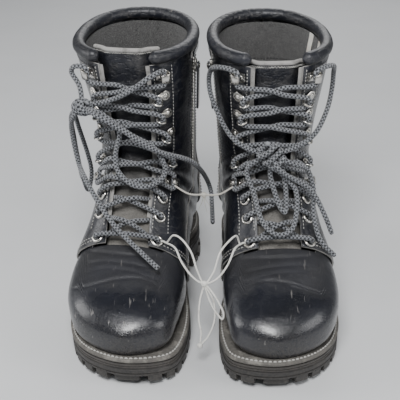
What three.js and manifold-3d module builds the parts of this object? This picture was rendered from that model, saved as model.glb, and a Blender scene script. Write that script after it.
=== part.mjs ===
// A pair of lace-up combat boots: millimetres, +Z up, toes toward -Y.
// A boot is drawn as a right boot in its own frame, where +X is the inner side; the left one is its mirror.
import * as THREE from "three";
import { ParametricGeometry } from "three/addons/geometries/ParametricGeometry.js";
import { mergeVertices } from "three/addons/utils/BufferGeometryUtils.js";
import Module from "manifold-3d";

const wasm = await Module();
wasm.setup();

// ---- Driving dimensions -------------------------------------------------------------------------------
const soleLength = 300;
const ballWidth = 108;
const shaftHeight = 248;
const collarWidth = 104;
const ankleWidth = 82;
const leather = 2;
const gap = 0.3;
const laceDiameter = 4.6;
const stringDiameter = 1.8;

// ---- Derived sizes ------------------------------------------------------------------------------------
const lengthScale = soleLength / 300;
const widthScale = ballWidth / 108;
const heightScale = shaftHeight / 248;
const soleLayers = { lugs: 6, slab: 8, midsole: 5, welt: 4 };
const slabBottom = soleLayers.lugs;
const midsoleBottom = slabBottom + soleLayers.slab + gap;
const weltBottom = midsoleBottom + soleLayers.midsole + gap;
const weltTop = weltBottom + soleLayers.welt;
const seat = weltTop + 4 * gap;
const heelLift = 14;
const toeSpring = 7;
const eyeletReach = 27;
const facingReach = 19.5;
const rivetReach = 31;
const ringReach = 22;

const black = { color: 0x14151a, roughness: 0.42, metalness: 0 };
const rubber = { color: 0x1b1b1c, roughness: 0.8, metalness: 0 };
const nickel = { color: 0xb9b6ad, roughness: 0.35, metalness: 1 };
const greyCloth = { color: 0x3b3a3a, roughness: 0.95, metalness: 0 };
const paleLeather = { color: 0x6f6a64, roughness: 0.8, metalness: 0 };
const laceCloth = { color: 0x2c2c30, roughness: 0.9, metalness: 0 };
const whiteCotton = { color: 0xcfcabd, roughness: 0.95, metalness: 0 };

// ---- Small helpers ------------------------------------------------------------------------------------
const vec = (x, y, z) => new THREE.Vector3(x, y, z);
const mix = (a, b, t) => a + (b - a) * t;
const ease = (low, high, value) => THREE.MathUtils.smoothstep(value, low, high);

// Height the sole rises above its forefoot level: toe spring in front, heel lift behind.
function lift(y) {
  const toe = Math.max(0, -y / lengthScale - 95) / 55;
  return toeSpring * toe * toe + heelLift * ease(-20 * lengthScale, 60 * lengthScale, y);
}

// A closed body facing outward, with joined vertices and no slivers.
function closed(geometry) {
  const plain = new THREE.BufferGeometry();
  plain.setAttribute("position", geometry.getAttribute("position").clone());
  if (geometry.index) plain.setIndex(geometry.index.clone());
  const joined = mergeVertices(plain, 1e-3);
  const place = joined.getAttribute("position");
  const corner = (i) => new THREE.Vector3().fromBufferAttribute(place, i);
  const kept = [];
  let volume = 0;
  for (let i = 0; i < joined.index.count; i += 3) {
    const [a, b, c] = [0, 1, 2].map((k) => joined.index.getX(i + k));
    if (a === b || b === c || c === a) continue;
    kept.push(a, b, c);
    volume += corner(a).dot(corner(b).cross(corner(c)));
  }
  joined.setIndex(volume < 0 ? kept.reverse() : kept);
  return joined;
}

function solid(geometry) {
  const body = closed(geometry);
  const vertProperties = new Float32Array(body.getAttribute("position").array);
  const triVerts = new Uint32Array(body.index.array);
  return new wasm.Manifold(new wasm.Mesh({ numProp: 3, vertProperties, triVerts }));
}

function fromSolid(body) {
  const mesh = body.getMesh();
  const geometry = new THREE.BufferGeometry();
  geometry.setAttribute("position", new THREE.BufferAttribute(new Float32Array(mesh.vertProperties), 3));
  geometry.setIndex(new THREE.BufferAttribute(new Uint32Array(mesh.triVerts), 1));
  return geometry;
}

const union = (list) => fromSolid(list.map(solid).reduce((whole, next) => whole.add(next)));
const remove = (left, tool) => left.subtract(tool);
const cut = (geometry, tools) => fromSolid(tools.map(solid).reduce(remove, solid(geometry)));

// Smooth curve through station values; the ends are reflected, evenly or oddly.
function along(values, u, evenStart) {
  const last = values.length - 1;
  const i = Math.min(Math.floor(Math.max(u, 0)), last - 1);
  const t = u - i;
  const before = i > 0 ? values[i - 1] : evenStart ? values[1] : 2 * values[0] - values[1];
  const after = i + 2 <= last ? values[i + 2] : 2 * values[last] - values[last - 1];
  const slopeIn = (values[i + 1] - before) / 2;
  const slopeOut = (after - values[i]) / 2;
  const rise = values[i + 1] - values[i];
  const bend = 3 * rise - 2 * slopeIn - slopeOut;
  return values[i] + t * (slopeIn + t * (bend + t * (slopeIn + slopeOut - 2 * rise)));
}

// ---- The last: the shape that the upper is drawn over ------------------------------------------------
// Stations run from the toe tip over the instep to the collar. "top" is the line of the toe, throat, instep
// and shaft front; "under" is the line of the sole, heel and back seam. Both are [y, z].
const tall = (z) => z * heightScale;
const tallHalf = mix(ankleWidth, collarWidth, 0.6) / 2;
const stations = [
  { at: "toe tip", top: [-145, 46], under: [-145, seat + 6], half: 0, shift: 7, box: 4 },
  { at: "toe cap", top: [-131, 62], under: [-131, seat + 2.6], half: 35, shift: 5, box: 4 },
  { at: "toe root", top: [-102, 74], under: [-100, seat + 0.4], half: 49.5, shift: -1, box: 4 },
  { at: "throat", top: [-57, 89], under: [-40, seat + 0.3], half: 51.5, shift: -3, box: 4 },
  { at: "instep", top: [-28, 118], under: [25, seat + 10.2], half: 43.5, shift: -3, box: 4 },
  { at: "bend", top: [-13, 142], under: [86, seat + 17], half: 39.5, shift: -1, box: 4 },
  { at: "heel corner", top: [-9, 155], under: [127, seat + 20], half: 39.5, shift: 0, box: 3.4 },
  { at: "heel bulge", top: [-7, tall(169)], under: [141, 86], half: ankleWidth / 2, shift: 0, box: 2.4 },
  { at: "ankle", top: [-7, tall(182)], under: [129, tall(133)], half: ankleWidth / 2 + 1, shift: 0, box: 2.2 },
  { at: "shaft", top: [-9, tall(208)], under: [121, tall(193)], half: tallHalf, shift: 0, box: 2.2 },
  { at: "collar", top: [-14, tall(246)], under: [118, tall(254)], half: collarWidth / 2, shift: 0, box: 2.2 },
  { at: "above", top: [-17, tall(272)], under: [118, tall(280)], half: collarWidth / 2 + 1, shift: 0, box: 2.2 },
];
const collar = 10;
const wide = (s) => (s.at.startsWith("toe") || s.at === "throat" ? widthScale : 1);
const lines = {
  topY: stations.map((s) => s.top[0] * lengthScale),
  topZ: stations.map((s) => s.top[1]),
  underY: stations.map((s) => s.under[0] * lengthScale),
  underZ: stations.map((s) => s.under[1]),
  half: stations.map((s) => s.half * wide(s)),
  shift: stations.map((s) => s.shift),
  box: stations.map((s) => s.box),
};
const roundness = 2.3;

function lastPoint(u, v) {
  const angle = Math.PI * v;
  const c = Math.cos(angle);
  const s = Math.sin(angle);
  const power = c > 0 ? roundness : along(lines.box, u, false);
  const height = Math.sign(c) * Math.abs(c) ** (2 / power);
  const side = Math.sign(s) * Math.abs(s) ** (2 / power);
  const share = (1 + height) / 2;
  const y = mix(along(lines.underY, u, true), along(lines.topY, u, true), share);
  const z = mix(along(lines.underZ, u, false), along(lines.topZ, u, false), share);
  return vec(along(lines.shift, u, true) + side * along(lines.half, u, false), y, z);
}

function lastNormal(u, angle) {
  const near = Math.max(u, 0.04);
  const v = u === 0 ? Math.abs(angle) : angle;
  const step = 0.02;
  const alongU = lastPoint(near + step, v).sub(lastPoint(near - step, v));
  const alongV = lastPoint(near, v + step).sub(lastPoint(near, v - step));
  const normal = alongV.cross(alongU).normalize();
  if (u === 0) normal.setX(0).normalize();
  return normal;
}

// The zip line is straight, so the skin is eased onto a straight line near it.
const zipV = 0.5;
const zipFrom = 6.9;
const zipTop = lastPoint(collar, zipV);
const zipBottom = lastPoint(zipFrom, zipV);
function zipEase(u, v) {
  const wrapped = v - 2 * Math.round(v / 2);
  const near = Math.max(0, 1 - Math.abs(wrapped - zipV) / 0.36);
  const weight = near * near * (3 - 2 * near) * ease(5.6, zipFrom, u);
  const place = lastPoint(u, zipV);
  const share = (place.z - zipBottom.z) / (zipTop.z - zipBottom.z);
  return zipBottom.clone().lerp(zipTop, share).sub(place).multiplyScalar(weight);
}

// Point of the boot's surface: u along the stations, v round the section (0 front, 0.5 inner side, 1 back).
function surface(u, v, offset) {
  return lastPoint(u, v).add(zipEase(u, v)).addScaledVector(lastNormal(u, v), offset);
}

// The v at which the surface is so many millimetres from its centre line, on the front half.
function reach(u, across) {
  const part = Math.min(0.999, Math.abs(across) / along(lines.half, u, false));
  return (Math.sign(across) * Math.asin(part ** (roundness / 2))) / Math.PI;
}
const facing = (u) => reach(u, facingReach + 3 * ease(7, collar, u));

// Every skin is drawn on the same net of lines, so that stacked skins keep their gaps between the lines.
const stationLines = [0, 0.12, 0.4, 0.8, 1.25, 1.7, 2.2, 2.7, 3.2, 3.75, 4.35, 4.95, 5.45, 5.9, 6.3, 6.7,
  7.2, 7.9, 8.6, 9.3];
const looseLines = [3.2, 3.75, 4.95, 6.3, 7.2, 8.6];
const roundLines = Array.from({ length: 49 }, (_, k) => (k - 20) / 12);

// A thin closed skin between two offsets. ends(v) gives its first and last station, sides(u) its two edges
// round the section; inner and outer are offsets from the last, as numbers or as functions of (u, v).
function skin({ ends, sides, inner, outer, folded, net = stationLines }) {
  const probes = roundLines.map((v) => ends(v));
  const [first, final] = [Math.min(...probes.map((e) => e[0])), Math.max(...probes.map((e) => e[1]))];
  const uLines = [first, ...net.filter((u) => u > first + 0.1 && u < final - 0.1), final];
  const spans = uLines.map((u) => sides(u));
  const [lowest, highest] = [Math.min(...spans.map((e) => e[0])), Math.max(...spans.map((e) => e[1]))];
  const inside = roundLines.filter((v) => v > lowest + 0.012 && v < highest - 0.012);
  const columns = inside.length + 1;
  const rows = uLines.length - 1;
  const slices = 2 * columns + 2;
  const start = folded ? 0 : 1;
  const stacks = rows + start + 1;
  const level = (offset, u, v) => (typeof offset === "function" ? offset(u, v) : offset);
  function place(across, down, target) {
    const j = Math.round(across * slices) % slices;
    const i = Math.round(down * stacks);
    const atEnd = i === stacks || (!folded && i === 0);
    const row = THREE.MathUtils.clamp(i - start, 0, rows);
    const column = j <= columns ? j : slices - 1 - j;
    const [low, high] = spans[row];
    const line = column === 0 ? low : column === columns ? high : inside[column - 1];
    const v = THREE.MathUtils.clamp(line, low + 0.006 * column, high - 0.006 * (columns - column));
    const [lowU, highU] = ends(v);
    const u = THREE.MathUtils.clamp(uLines[row], lowU + 0.02 * row, highU - 0.02 * (rows - row));
    const isOuter = j <= columns && !atEnd;
    target.copy(surface(u, v, level(isOuter ? outer : inner, u, v)));
  }
  return closed(new ParametricGeometry(place, slices, stacks));
}

// A round cord along a list of points; each point is a step, so tight turns stay where they are put.
class Route extends THREE.Curve {
  constructor(points) {
    super();
    this.points = points;
  }
  getPoint(t, target = vec(0, 0, 0)) {
    const s = t * (this.points.length - 1);
    const i = Math.min(Math.floor(s), this.points.length - 2);
    return target.lerpVectors(this.points[i], this.points[i + 1], s - i);
  }
  getPointAt(t, target) {
    return this.getPoint(t, target);
  }
  getTangentAt(t, target = vec(0, 0, 0)) {
    const step = 0.5 / (this.points.length - 1);
    const ahead = this.getPoint(Math.min(1, t + step));
    return target.subVectors(ahead, this.getPoint(Math.max(0, t - step))).normalize();
  }
}

function cord(points, diameter, sides = 8) {
  const outline = new THREE.Shape();
  for (let k = 0; k < sides; k++) {
    const angle = (2 * Math.PI * k) / sides;
    const spot = new THREE.Vector2(Math.cos(angle), Math.sin(angle)).multiplyScalar(diameter / 2);
    if (k === 0) outline.moveTo(spot.x, spot.y);
    else outline.lineTo(spot.x, spot.y);
  }
  const extrudePath = new Route(points);
  const settings = { steps: points.length - 1, extrudePath, bevelEnabled: false };
  return closed(new THREE.ExtrudeGeometry(outline, settings));
}

function smooth(points, steps) {
  return new THREE.CatmullRomCurve3(points, false, "centripetal").getSpacedPoints(steps);
}

// Frame on the surface: x across (toward the inner side of the boot), y up the boot, z outward.
function onSurface(u, v, offset) {
  const outward = lastNormal(u, v);
  const upward = surface(u + 0.05, v, 0).sub(surface(u - 0.05, v, 0));
  upward.addScaledVector(outward, -upward.dot(outward)).normalize();
  const across = upward.clone().cross(outward);
  return new THREE.Matrix4().makeBasis(across, upward, outward).setPosition(surface(u, v, offset));
}

// ---- Sole ---------------------------------------------------------------------------------------------
const soleStations = {
  y: [-150, -136, -106, -62, -8, 45, 92, 132, 148].map((y) => y * lengthScale),
  inner: [0, 37, 51, 51, 40, 32, 38, 28, 0].map((x) => x * widthScale),
  outer: [0, 30, 48, 57, 50, 41, 38, 27, 0].map((x) => x * widthScale),
};
const tipShift = [9, 6, 1, 0, 0, 0, 0, 0, 0];

// Edge of the sole at a station: side +1 is the inner edge; margin is taken off all round.
function soleEdge(s, side, margin) {
  const mirrored = (list, even) => (s > 7 ? endCap(list, s, even) : along(list, s, even));
  const y = mirrored(soleStations.y, true);
  const width = mirrored(side > 0 ? soleStations.inner : soleStations.outer, false);
  const trim = Math.max(0, 1 - margin / 56);
  const middle = 2 * lengthScale;
  const x = side * width * trim + along(tipShift, s, true);
  return [x, middle + (y - middle) * (1 - margin / (soleLength / 2))];
}

// The last span is drawn backward from the heel tip, so that it is as round as the toe.
function endCap(list, s, even) {
  return along([...list].reverse(), 8 - s, even);
}

// A flat layer of the sole between two heights, bent by the sole's lift.
function soleLayer({ bottom, top, margin, from = 0, to = 8, rows = 20, bent = true }) {
  const openStart = from > 0 ? 1 : 0;
  const openEnd = to < 8 ? 1 : 0;
  const stacks = rows + openStart + openEnd;
  function place(across, down, target) {
    const j = Math.round(across * 4) % 4;
    const i = Math.round(down * stacks) - openStart;
    const s = mix(from, to, THREE.MathUtils.clamp(i / rows, 0, 1));
    const side = j === 0 || j === 3 ? 1 : -1;
    const collapsed = i < 0 || i > rows;
    const [x, y] = soleEdge(s, side, margin);
    const z = j < 2 && !collapsed ? top : bottom;
    target.set(x, y, (typeof z === "function" ? z(y) : z) + (bent ? lift(y) : 0));
  }
  return closed(new ParametricGeometry(place, 4, stacks));
}

function lugBlock(s, side, length, depth, bottom, height) {
  const [x, y] = soleEdge(s, side, 1.2);
  const [x2, y2] = soleEdge(s + 0.1, side, 1.2);
  const block = new THREE.BoxGeometry(depth, length, height);
  block.translate((-side * depth) / 2, 0, height / 2);
  block.rotateZ(Math.atan2(-(x2 - x), y2 - y));
  block.translate(x, y, bottom + Math.max(0, lift(y) - 0.4 * heelLift * ease(0, 60, y)));
  return block;
}

function outsole() {
  const parts = [soleLayer({ bottom: slabBottom, top: slabBottom + soleLayers.slab, margin: 0, rows: 22 })];
  for (const side of [1, -1]) {
    for (let k = 0; k < 6; k++) parts.push(lugBlock(0.75 + k * 0.52, side, 13, 17, 0, slabBottom + 2));
  }
  for (let k = 0; k < 3; k++) {
    const bar = new THREE.BoxGeometry(44, 15, slabBottom + 2);
    bar.translate(0, (-108 + 27 * k) * lengthScale, (slabBottom + 2) / 2);
    bar.translate(0, 0, lift((-108 + 27 * k) * lengthScale));
    parts.push(bar);
  }
  const tipLug = new THREE.BoxGeometry(26, 10, slabBottom + 1);
  tipLug.translate(9, -138 * lengthScale, (slabBottom + 1) / 2 + lift(-138 * lengthScale));
  return union([...parts, tipLug]);
}

// The heel block fills the lift under the heel, and its blocks stand on the floor.
function heelBlock() {
  const body = soleLayer({ bottom: (y) => 5 - lift(y), top: slabBottom - gap, margin: 2, from: 5.3, rows: 10 });
  const parts = [body];
  for (let k = 0; k < 4; k++) {
    const s = 5.5 + k * 0.6;
    const [, y] = soleEdge(s, 1, 1.2);
    const above = Math.max(0, lift(y) - 0.4 * heelLift * ease(0, 60, y));
    for (const side of [1, -1]) parts.push(lugBlock(s, side, 11, 15, 0, 7).translate(0, 0, -above));
  }
  const middle = new THREE.BoxGeometry(34, 62, 7).translate(0, 100 * lengthScale, 3.5);
  return union([...parts, middle]);
}

const midsoleTop = midsoleBottom + soleLayers.midsole;
const midsole = () => soleLayer({ bottom: midsoleBottom, top: midsoleTop, margin: 1, rows: 22 });
const welt = () => soleLayer({ bottom: weltBottom, top: weltTop, margin: 0.5, rows: 26 });
const insole = () => soleLayer({ bottom: weltTop + 2 * gap, top: weltTop + 4, margin: 26, rows: 22 });

// ---- Upper --------------------------------------------------------------------------------------------
const lower = 0.83;
const lowerAt = (u) => mix(lower, 0.88, ease(2.6, 4.4, u));
const backEdge = 0.992;
const layerGap = 0.5;
const quarterIn = layerGap;
const quarterOut = quarterIn + leather;
const patchIn = quarterOut + layerGap + 0.35;
const lowEdge = (u) => mix(lowerAt(u), backEdge, ease(4.6, 6.6, u));
const seamU = (v) => 3.05 + 0.25 * ease(0.25, 0.8, Math.abs(v));

function vamp() {
  const skived = (u) => -0.7 * ease(2.85, 3.1, u);
  const ends = (v) => [0, mix(3.02, 3.75, ease(0.21, 0.27, Math.abs(v)))];
  return skin({ ends, sides: (u) => [-lowerAt(u), lowerAt(u)], inner: -leather, outer: skived, folded: true });
}

function quarter(sides) {
  return skin({ ends: (v) => [seamU(v), collar], sides, inner: quarterIn, outer: quarterOut });
}

const zipGap = (u) => mix(0.003, 0.036, ease(zipFrom - 0.35, zipFrom, u));
const lateralQuarter = () => quarter((u) => [-lowEdge(u), -facing(u)]);
const medialFront = () => quarter((u) => [facing(u), zipV - zipGap(u)]);
const medialBack = () => quarter((u) => [zipV + zipGap(u), lowEdge(u)]);

function heelCounter() {
  const spread = (u) => mix(0.42, 0.3, ease(5.7, 8.1, u));
  const sides = (u) => [1 - spread(u), 1 + spread(u)];
  return skin({ ends: () => [5.95, 8.1], sides, inner: patchIn, outer: patchIn + 1.4 });
}

function backstay() {
  const sides = () => [0.955, 1.045];
  return skin({ ends: () => [8.16, collar], sides, inner: patchIn, outer: patchIn + 1.4 });
}

const liningOut = -1.4 - 2 * layerGap;
function lining() {
  const sides = (u) => [facing(u) + 0.02, 2 - facing(u) - 0.02];
  return skin({ ends: () => [6.5, collar - 0.02], sides, inner: liningOut - 0.9, outer: liningOut });
}

const tongueTop = { right: 10.42, left: 10.05 };
function tongue(side) {
  const outer = (u, v) => {
    const under = ease(14, 26, Math.abs(v) * Math.PI * along(lines.half, u, false));
    return mix(-2.3 - layerGap, mix(-5.6, -8.4, under), ease(2.92, 3.1, u));
  };
  const half = (u) => mix(22, 35, ease(2.8, 6, u));
  const sides = (u) => [reach(u, -half(u)), reach(u, half(u))];
  const inner = (u, v) => outer(u, v) - 2.6;
  return skin({ ends: () => [2.75, tongueTop[side]], sides, inner, outer, net: looseLines });
}

function collarPad() {
  const ring = [];
  for (let k = 0; k <= 15; k++) {
    const v = mix(facing(collar), 2 - facing(collar), k / 15);
    const middle = surface(collar, v, 0.4);
    const upward = surface(collar + 0.1, v, 0).sub(surface(collar - 0.1, v, 0)).normalize();
    ring.push(middle.addScaledVector(upward, 6.4));
  }
  return cord(ring, 11.6);
}

// ---- Hardware -----------------------------------------------------------------------------------------
// Rows of lacing from the throat up: three eyelets, the ankle hook, four ring clips, the top hook.
const rows = [3.2, 3.78, 4.33, 4.97, 6.5, 8.05, 8.75, 9.25, 9.72];
const eyeletRows = rows.slice(0, 3);
const ankleRow = rows[3];
const clipRows = rows.slice(4, 8);
const topRow = rows[8];
const ringTilt = 0.3;
const ringHeight = 6.4;
const hardwareBase = quarterOut + 1.1;

// Thin square rod that joins the hardware of one side into one body.
function joiningRod(side, levels, across, height) {
  const knots = levels.map((u) => surface(u, reach(u, side * across), hardwareBase + height));
  return cord(knots, 2, 4);
}

function eyelets(side) {
  const levels = [rows[0], (rows[0] + rows[1]) / 2, rows[1], (rows[1] + rows[2]) / 2, rows[2]];
  const parts = [joiningRod(side, levels, eyeletReach + 3.5, 0.9)];
  const profile = [[3.5, 0], [5.9, 0], [5.2, 1.1], [3.9, 1.1], [3.5, 0]];
  const outline = profile.map(([x, y]) => new THREE.Vector2(x, y));
  for (const u of eyeletRows) {
    const ring = new THREE.LatheGeometry(outline, 9).rotateX(Math.PI / 2);
    parts.push(ring.applyMatrix4(onSurface(u, reach(u, side * eyeletReach), hardwareBase)));
  }
  return union(parts);
}

// Teardrop plate with a domed rivet, holding a round ring that stands toward the lacing gap.
function ringClip(u, side) {
  const plate = new THREE.CylinderGeometry(4.7, 5, 1.3, 7).rotateX(Math.PI / 2).translate(0, 0, 1.45);
  const neck = new THREE.BoxGeometry(6, 4.4, 3).translate(-side * 6, -1.4, 2.4);
  const dome = new THREE.CylinderGeometry(1.6, 3, 1.6, 5).rotateX(Math.PI / 2).translate(0, 0, 2.6);
  const ring = new THREE.TorusGeometry(4.2, 0.9, 3, 7).rotateX(Math.PI / 2 + ringTilt);
  ring.translate(-side * (rivetReach - ringReach + 3.2), -1.5, ringHeight);
  const frame = onSurface(u, reach(u, side * rivetReach), hardwareBase);
  return [plate, neck, dome, ring].map((piece) => piece.applyMatrix4(frame));
}

function hook(u, side, across) {
  const base = new THREE.BoxGeometry(11, 8, 1.4).translate(0, 0, 0.7);
  const wall = new THREE.BoxGeometry(1.8, 8, 8.6).translate(side * 4.4, 0, 4.3);
  const lip = new THREE.BoxGeometry(9, 6.4, 1.4).translate(side * 0.7, 0, 8.3);
  const frame = onSurface(u, reach(u, side * across), hardwareBase);
  return [base, wall, lip].map((piece) => piece.applyMatrix4(frame));
}

function clipRow(side) {
  const levels = [ankleRow, 5.7, clipRows[0], 7.3, clipRows[1], 8.4, clipRows[2], 9, clipRows[3], topRow];
  const parts = [joiningRod(side, levels, rivetReach, 1.7)];
  for (const u of clipRows) parts.push(...ringClip(u, side));
  parts.push(...hook(ankleRow, side, rivetReach - 2));
  parts.push(...hook(topRow, side, rivetReach - 1));
  return union(parts);
}

function vent() {
  const outline = [[1.6, 0], [3.8, 0], [3.4, 0.9], [2, 1.1], [1.6, 0]].map(([x, y]) => new THREE.Vector2(x, y));
  const ring = new THREE.LatheGeometry(outline, 12).rotateX(Math.PI / 2).scale(1, 0.75, 1);
  return closed(ring.applyMatrix4(onSurface(3.75, 0.66, hardwareBase)));
}

// ---- Zip ----------------------------------------------------------------------------------------------
const zipUp = zipTop.clone().sub(zipBottom).normalize();
const zipOut = lastNormal(9, zipV);
zipOut.addScaledVector(zipUp, -zipOut.dot(zipUp)).normalize();
const sliderDrop = 22;
const sliderPlace = zipTop.clone().addScaledVector(zipUp, -sliderDrop);
const zipAcross = zipUp.clone().cross(zipOut);
const zipFrame = new THREE.Matrix4().makeBasis(zipAcross, zipUp, zipOut).setPosition(sliderPlace);

function zipTape() {
  const ends = () => [zipFrom - 0.1, collar - 0.03];
  const tape = (width, inner, outer) => skin({ ends, sides: () => [zipV - width, zipV + width], inner, outer });
  return union([tape(0.072, -1.05, 0), tape(0.017, -0.6, 2)]);
}

// The slider carries a headed post, and the leather pull swivels on the post.
const sliderTop = 4.9;
const postRadius = 1.5;
const pullThickness = 1.8;
const postHead = sliderTop + pullThickness + 2 * gap;

function zipSlider() {
  const body = new THREE.BoxGeometry(9, 14, 2.6).translate(0, 0, sliderTop - 1.3);
  const post = new THREE.CylinderGeometry(postRadius, postRadius, 3.6, 8).rotateX(Math.PI / 2);
  const head = new THREE.CylinderGeometry(2.4, 3.1, 0.9, 10).rotateX(Math.PI / 2);
  post.translate(0, 0, postHead - 1.2);
  head.translate(0, 0, postHead + 0.45);
  return union([body, post, head]).applyMatrix4(zipFrame);
}

function zipPull() {
  const strip = new THREE.BoxGeometry(8, 46, pullThickness).translate(0, -23, 0);
  const eye = new THREE.CylinderGeometry(4.6, 4.6, pullThickness, 12).rotateX(Math.PI / 2);
  const boreRadius = postRadius + gap + 0.1;
  const bore = new THREE.CylinderGeometry(boreRadius, boreRadius, 6, 12).rotateX(Math.PI / 2);
  const pull = cut(union([strip, eye]), [bore]);
  return pull.translate(0, 0, sliderTop + gap + pullThickness / 2).applyMatrix4(zipFrame);
}

function zipGarage() {
  const sides = () => [zipV - 0.085, zipV + 0.085];
  return skin({ ends: () => [9.83, collar - 0.01], sides, inner: patchIn + 0.4, outer: patchIn + 1.9 });
}

// ---- Laces --------------------------------------------------------------------------------------------
// A point in front of the boot: station, millimetres across (inner side positive), height off the leather.
function spot(u, across, offset) {
  return surface(u, reach(u, across), offset);
}

function lacingPoints(knot) {
  const over = 7 + laceDiameter / 2;
  const under = 2 + laceDiameter / 2;
  // Where a lace goes through a row, in the direction of travel (downward or upward).
  function pass(row, side, upward) {
    const u = rows[row];
    const low = row < 3;
    if (low) {
      const inward = row === 0 ? 0.1 : -0.1;
      const edge = spot(u + inward, side * (facingReach + 0.5), -0.9 - laceDiameter / 2);
      const depths = [-1.1 - laceDiameter / 2, over - 0.1];
      const hole = depths.map((depth) => spot(u, side * eyeletReach, depth));
      return row === 0 ? [...hole.reverse(), edge] : [edge, ...hole];
    }
    if (row === 3 || row === 8) {
      const frame = onSurface(u, reach(u, side * (row === 3 ? rivetReach - 2 : rivetReach - 1)), hardwareBase);
      const pair = [-1, 1].map((end) => vec(0, end * 8, 4.8).applyMatrix4(frame));
      return upward ? pair : pair.reverse();
    }
    const frame = onSurface(u, reach(u, side * rivetReach), hardwareBase);
    const middle = vec(-side * (rivetReach - ringReach + 3.2), -1.5, ringHeight);
    const axis = vec(0, Math.cos(ringTilt), Math.sin(ringTilt)).multiplyScalar(5);
    const pair = [-1, 1].map((end) => middle.clone().addScaledVector(axis, end).applyMatrix4(frame));
    return upward ? pair : pair.reverse();
  }
  function strand(firstSide) {
    const path = [];
    let side = firstSide;
    for (let row = 0; row < rows.length; row++) {
      path.push(...pass(row, side, true));
      if (row === rows.length - 1) break;
      const height = firstSide > 0 ? over : under;
      const middle = (rows[row] + rows[row + 1]) / 2;
      const crossing = [spot(middle - 0.05, side * 5, height), spot(middle + 0.05, -side * 5, height)];
      const overEdge = (end, share) => spot(mix(rows[row], rows[row + 1], share), end * 17, over + 0.2);
      if (row === 2 || row === 3) path.push(overEdge(side, 0.25), ...crossing, overEdge(-side, 0.75));
      else path.push(...crossing);
      side = -side;
    }
    return path;
  }
  const bar = [9, -9].map((across) => spot(rows[0], across, over - 0.5));
  const left = strand(-1);
  const right = strand(1);
  const topLeft = knot.top(left[left.length - 1].x);
  const topRight = knot.top(right[right.length - 1].x);
  const whole = [...topRight.reverse(), ...right.reverse(), ...bar, ...left, ...topLeft];
  const middle = topRight.length + right.length + 1;
  return { whole, throughEyelets: whole.slice(middle - 15, middle + 15) };
}

// The hand-tied bow of each boot, as [station, across, height off the leather].
const bows = {
  right: {
    knot: { u: 9.12, across: -26, offset: 23.5, width: 24, height: 17 },
    topInner: [[9.86, 20, 14], [9.6, 8, 15], [9.36, -6, 15]],
    topOuter: [[9.9, -36, 14], [9.75, -38, 16], [9.5, -32, 16]],
    bigLoop: [[8.95, -14, 14], [8.4, -5, 12], [6.6, -8, 12], [5.1, -7, 12], [4.55, 2, 12], [4.45, 10, 12],
      [4.75, 18, 12], [5.5, 19, 13], [7.3, 15, 14], [8.4, 3, 18], [9.0, -12, 18]],
    smallLoop: [[8.9, -34, 16], [8.3, -42, 15], [6.3, -43, 15], [5.1, -41, 14], [5.0, -36, 14], [5.6, -37, 19],
      [7.6, -38, 21], [8.9, -32, 20]],
    firstEnd: [[8.85, -30, 22], [8.3, -34, 22], [6.0, -31, 21], [4.6, -25, 18], [3.85, -18, 15], [3.25, -6, 12],
      [2.72, 12, 7], [2.35, 31, 5]],
    secondEnd: [[9.05, -14, 23], [8.7, -4, 21], [7.6, 14, 20], [6.6, 30, 19], [5.7, 39, 17], [4.8, 41, 20],
      [4.2, 43, 22]],
  },
  left: {
    knot: { u: 6.9, across: 3, offset: 22.2, width: 27, height: 23 },
    topInner: [[9.9, 42, 12], [9.62, 47, 11], [9.3, 46, 12], [8.95, 40, 14], [8.2, 28, 16], [7.5, 18, 16]],
    topOuter: [[9.9, -42, 12], [9.6, -46, 11], [9.25, -45, 12], [8.85, -38, 14], [8.2, -26, 16],
      [7.4, -12, 16]],
    bigLoop: [[6.3, 12, 16], [5.6, 16, 14], [4.4, 16, 13], [3.45, 13, 12], [3.15, 3, 12], [3.3, -8, 12],
      [3.8, -12, 13], [4.4, -11, 14], [5.2, -2, 18], [6.2, 4, 20]],
    smallLoop: [[6.2, 2, 15], [5.2, 4, 12], [4.4, 3, 10], [3.85, -1, 9.5], [3.75, -4, 9.5], [4.2, -5.5, 10],
      [4.9, -5, 12], [6.1, -3, 15]],
    firstEnd: [[6.0, 0, 24], [5.0, -4, 22], [4.3, -19, 19], [3.6, -31, 16], [3.3, -37, 13]],
    secondEnd: [[6.2, -9, 22], [5.4, -16, 19], [4.4, -22, 15], [3.7, -24, 12], [3.1, -31, 9], [2.85, -42, 7]],
  },
};

const bowLift = { right: 7, left: 4.6 };

function bowPieces(side) {
  const bow = bows[side];
  const place = (list) => list.map(([u, across, offset]) => spot(u, across, offset + bowLift[side]));
  const { knot } = bow;
  const frame = onSurface(knot.u, reach(knot.u, knot.across), knot.offset);
  const bundle = new THREE.SphereGeometry(1, 10, 6).scale(knot.width / 2, knot.height / 2, 8);
  bundle.applyMatrix4(frame);
  const heart = vec(0, 0, 0).applyMatrix4(frame);
  const loops = [[bow.bigLoop, 15], [bow.smallLoop, 12]]
    .map(([list, steps]) => [[heart, ...place(list), heart], steps]);
  const ends = [bow.firstEnd, bow.secondEnd].map((list) => [[heart, ...place(list)], 10]);
  return [bundle, ...[...loops, ...ends].map(([points, steps]) => cord(smooth(points, steps), laceDiameter))];
}

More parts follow.
